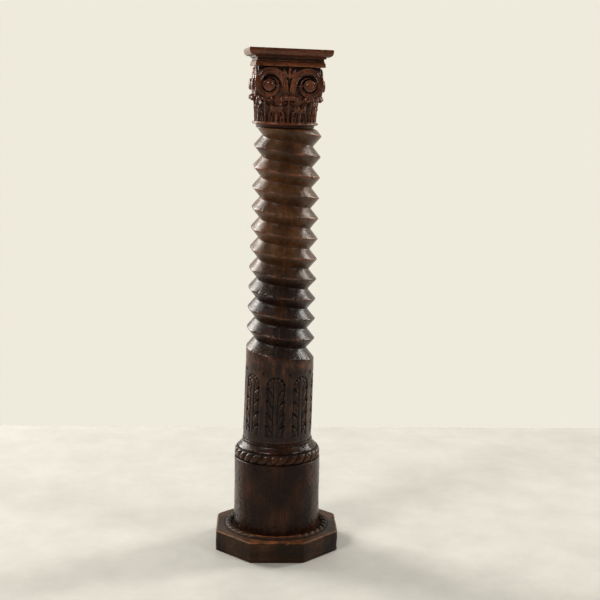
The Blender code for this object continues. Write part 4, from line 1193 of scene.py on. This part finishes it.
def stem(face_frame, side):
    """The fluted band that climbs from the middle of a face into a volute, notched on one side."""
    v, u = share_grid(50, 25)
    foot, head = VOLUTE_EYE_HEIGHT + STEM_FOOT, VOLUTE_EYE_HEIGHT + STEM_HEAD
    near = 0.0010 + 0.0054 * v ** 3
    far = 0.0172 + 0.0062 * v ** 1.6
    x = near + (far - near) * u
    y = foot + (head - foot) * v
    level = -0.0006 - 0.0045 * (1 - v) ** 2 - 0.0022 * np.sin(u * math.pi) ** 0.8
    level = level - 0.0030 * smooth_step(np.abs(u - 0.5), 0.44, 0.5) - 0.004 * smooth_step(v, 0.85, 1.0)
    level = level - LINE_DEPTH * ridge(u - 0.20, 0.09) - 0.0030 * ridge(u - 0.80, 0.09)
    if side > 0:
        rungs = ridge((v * 6.5) % 1.0 - 0.5, 0.15)
        level = level - 0.0020 * rungs * (u > 0.26) * (u < 0.74)
    front = np.stack([side * x, y, level], -1)
    back = np.stack([side * x, y, np.full_like(level, -STEM_THICKNESS)], -1)
    if side < 0:
        front, back = front[:, ::-1], back[:, ::-1]
    points, faces = sheet_form(front, back)
    return moved(points, face_frame), faces


def petal(face_frame, swing, length):
    """One lobe of a palmette, broad near its tip, with a groove down its middle."""
    v, a = lobe_grid(0.02, 0.985, 24, 28)
    swell = np.sin(math.pi * v ** 1.7) ** 0.75 * 0.92 + 0.08
    x = LOBE_WIDTH / 2 * swell * np.cos(a)
    z = LOBE_THICKNESS * (0.35 + 0.65 * swell) * np.sin(a)
    z = z - 0.32 * LOBE_THICKNESS * ridge(x / (LOBE_WIDTH / 2), 0.3) * (np.sin(a) > 0)
    points = np.stack([x, length * v, z + 0.002 * v], -1)
    place = (0.0, VOLUTE_EYE_HEIGHT + PALMETTE_FOOT, -PALMETTE_SINK)
    turn = Matrix.Translation(place) @ Matrix.Rotation(swing, 4, "Z")
    points, faces = closed_loft(points[:, ::-1])
    return moved(moved(points, turn), face_frame), faces


def box_form(half_width, bottom, top):
    """A square block with its faces cut fine enough to be worn."""
    level = np.linspace(bottom, top, 30)
    x, y = rounded_square(np.full_like(level, half_width), np.full_like(level, 0.003))
    return closed_loft(np.stack([x, y, np.repeat(level[:, None], x.shape[1], axis=1)], -1))


def joined(name, forms):
    """One mesh of several closed forms."""
    points, faces = [], []
    count = 0
    for form_points, form_faces in forms:
        points.append(form_points)
        faces += [[i + count for i in face] for face in form_faces]
        count += len(form_points)
    return mesh_from(name, np.concatenate(points), faces)


def evaluated(mesh, name, kind, **settings):
    """A new mesh: the old one after a modifier."""
    rough = bpy.data.objects.new(name, mesh)
    bpy.context.scene.collection.objects.link(rough)
    modifier = rough.modifiers.new(name, kind)
    for key, value in settings.items():
        setattr(modifier, key, value)
    bpy.context.view_layer.update()
    made = bpy.data.meshes.new_from_object(rough.evaluated_get(bpy.context.evaluated_depsgraph_get()))
    made.name = name
    bpy.data.objects.remove(rough)
    return made


def reduced(mesh, triangles):
    """The mesh with no more than a number of triangles."""
    count = sum(len(face.vertices) - 2 for face in mesh.polygons)
    return evaluated(mesh, mesh.name + "_reduced", "DECIMATE", ratio=min(1.0, triangles / count))


def build_capital(material):
    """The capital: every carved form, fused and softened as if cut from one block."""
    forms = [bell_form(), box_form(BLOCK_HALF_WIDTH, BLOCK_BOTTOM, CAPITAL_HEIGHT - 0.0004)]
    for k in range(GREAT_LEAVES):
        turn_angle = 2 * math.pi * k / GREAT_LEAVES
        forms.append(great_leaf(turn_angle, k))
        for across, level in CROWN_KNOBS:
            forms.append(crown_knob(turn_angle, across, level))
        forms.append(small_leaf(turn_angle + math.pi / GREAT_LEAVES))
    upright = Matrix(((1, 0, 0, 0), (0, 0, -1, -VOLUTE_FACE), (0, 1, 0, 0), (0, 0, 0, 1)))
    for k in range(4):
        face_frame = Matrix.Rotation(math.pi / 2 * k, 4, "Z") @ upright
        for side in (-1, 1):
            forms.append(volute(face_frame, side))
            forms.append(stem(face_frame, side))
        forms += [petal(face_frame, math.radians(swing), length) for swing, length in PALMETTE_LOBES]
    mesh = evaluated(joined("capital_rough", forms), "capital_carved", "REMESH",
                     mode="VOXEL", voxel_size=CARVING_VOXEL, use_smooth_shade=True)
    points, normals, edges, degree = mesh_arrays(mesh)
    for _ in range(2):
        points = points * 0.6 + neighbour_mean(points, edges, degree) * 0.4
    turned = (points[:, 2] < NECK_HEIGHT + ASTRAGAL_HEIGHT + 0.0006)[:, None]
    for _ in range(6):
        points = np.where(turned, points * 0.5 + neighbour_mean(points, edges, degree) * 0.5, points)
    uneven = np.where(turned[:, 0], 0.0, unevenness(points, CAPITAL_UNEVEN))
    points += normals * (uneven - CAPITAL_INSET)[:, None]
    points[:, 2] = np.clip(points[:, 2], 0.0, CAPITAL_HEIGHT)
    set_points(mesh, points)
    mesh.shade_smooth()
    weather_capital(mesh, points)
    mesh = reduced(mesh, CAPITAL_TRIANGLES)
    mesh.transform(CAPITAL_FRAME)
    return add_piece("capital", mesh, material)


def weather_capital(mesh, points):
    """Tone of the capital, and painted shade with dark wax between its volutes, among its leaves and round
    its neck.
    """
    reach = np.hypot(points[:, 0], points[:, 1])
    recess = VOLUTE_FACE - np.maximum(np.abs(points[:, 0]), np.abs(points[:, 1]))
    high = smooth_step(points[:, 2], VOLUTE_EYE_HEIGHT - 0.034, VOLUTE_EYE_HEIGHT - 0.026)
    along = np.minimum(np.abs(points[:, 0]), np.abs(points[:, 1]))
    above = points[:, 2] - VOLUTE_EYE_HEIGHT
    wound = smooth_step(-np.hypot(along - VOLUTE_SPACING / 2, above), -0.037, -0.031)
    shadowed = np.maximum(smooth_step(-along, -0.016, -0.008), smooth_step(above, 0.028, 0.040))
    shadowed = np.maximum(wound, shadowed)
    # Painted shade in the recess between the volutes, deepest where it is shadowed
    sunk_wax_and_shade = smooth_step(recess, 0.0034, 0.0080) * high * (0.35 + 0.65 * shadowed)
    sunk_wax_and_shade = sunk_wax_and_shade * (points[:, 2] < CAPITAL_HEIGHT - 0.0005)
    # Painted shade among the low leaves and under the astragal round the neck
    envelope = bell_radius(points[:, 2]) + 0.0052 - reach
    low = 1 - smooth_step(points[:, 2], 0.060, 0.074)
    sunk_wax_and_shade = np.maximum(sunk_wax_and_shade, smooth_step(envelope, 0.0008, 0.0042) * low * (points[:, 2] > 0.0185))
    sunk_wax_and_shade = np.maximum(sunk_wax_and_shade, smooth_step(-points[:, 2], -NECK_HEIGHT, -NECK_HEIGHT + 0.004) * 0.8)
    weather(mesh, np.clip(0.45 + 0.3 * waves(points, 0.05, 52), 0, 1), rounds=(3, 22), edge=0.0010,
            hollow=0.0010, sunk_wax_and_shade=sunk_wax_and_shade * 0.85)


def area_light(name, azimuth, elevation, width, height, power):
    """A soft upright light aimed at the middle of the column."""
    a, e = math.radians(azimuth), math.radians(elevation)
    toward = Vector((math.sin(a) * math.cos(e), -math.cos(a) * math.cos(e), math.sin(e)))
    data = bpy.data.lights.new(name, "AREA")
    data.shape = "RECTANGLE"
    data.size = width
    data.size_y = height
    data.energy = power
    data.color = LIGHT_COLOUR
    light = bpy.data.objects.new(name, data)
    light.location = Vector(LIGHT_AIM) + toward * LIGHT_DISTANCE
    light.rotation_euler = toward.to_track_quat("Z", "Y").to_euler()
    light.visible_camera = False
    bpy.context.scene.collection.objects.link(light)


def build_stage():
    """A plain pale floor that ends where the photograph's does, a pale room round it, and soft lights."""
    mesh = bpy.data.meshes.new("floor")
    corners = ((-1, -FLOOR_REACH), (1, -FLOOR_REACH), (1, FLOOR_BACK), (-1, FLOOR_BACK))
    mesh.from_pydata([(side * FLOOR_REACH, back, FLOOR_LEVEL) for side, back in corners], [], [(0, 1, 2, 3)])
    floor = bpy.data.objects.new("floor", mesh)
    bpy.context.scene.collection.objects.link(floor)
    material = bpy.data.materials.new("pale_floor")
    material.use_nodes = True
    tree = material.node_tree
    shader = tree.nodes["Principled BSDF"]
    place = node(tree, "ShaderNodeTexCoord").outputs["Object"]
    mottle = node(tree, "ShaderNodeTexNoise", {
        "Vector": place, "Scale": FLOOR_MOTTLE, "Detail": 6.0, "Roughness": 0.7}).outputs["Fac"]
    tree.links.new(mixed(tree, ranged(tree, mottle, 0.35, 0.65), FLOOR_LOW, FLOOR_HIGH),
                   shader.inputs["Base Color"])
    shader.inputs["Roughness"].default_value = FLOOR_ROUGHNESS
    mesh.materials.append(material)
    world = bpy.data.worlds.new("pale_room")
    world.use_nodes = True
    tree = world.node_tree
    toward = node(tree, "ShaderNodeTexCoord").outputs["Generated"]
    parts = node(tree, "ShaderNodeSeparateXYZ", {"Vector": toward}).outputs
    strength = sums(tree, "MAXIMUM", ranged(tree, parts["Y"], 0.0, 0.85, ROOM_FRONT, ROOM_BACK),
                    ranged(tree, parts["Z"], 0.45, 1.0, 0.0, ROOM_TOP))
    seen = node(tree, "ShaderNodeLightPath").outputs["Is Camera Ray"]
    strength = ranged(tree, seen, 0.0, 1.0, strength, ROOM_BACK)
    background = tree.nodes["Background"]
    background.inputs["Color"].default_value = (*ROOM_COLOUR, 1.0)
    tree.links.new(strength, background.inputs["Strength"])
    bpy.context.scene.world = world
    bpy.context.scene.view_settings.view_transform = "Standard"
    bpy.context.scene.view_settings.gamma = DISPLAY_GAMMA
    for name, settings in LIGHTS.items():
        area_light(name, *settings)


def build_camera():
    """The camera where the photograph was taken from."""
    data = bpy.data.cameras.new("camera")
    data.sensor_width = CAMERA_SENSOR
    data.lens = CAMERA_LENS
    camera = bpy.data.objects.new("camera", data)
    camera.matrix_world = (Matrix.Translation(CAMERA_PLACE) @ Matrix.Rotation(-CAMERA_YAW, 4, "Z")
                           @ Matrix.Rotation(math.pi / 2 - CAMERA_PITCH, 4, "X")
                           @ Matrix.Rotation(CAMERA_ROLL, 4, "Z"))
    bpy.context.scene.collection.objects.link(camera)
    bpy.context.scene.camera = camera


build_camera()
build_stage()
for piece_name, build in (("plinth", build_plinth), ("drum", build_drum), ("shaft", build_shaft),
                          ("capital", build_capital), ("abacus", build_abacus)):
    build(oak(piece_name + "_oak_look", *LOOKS[piece_name]))
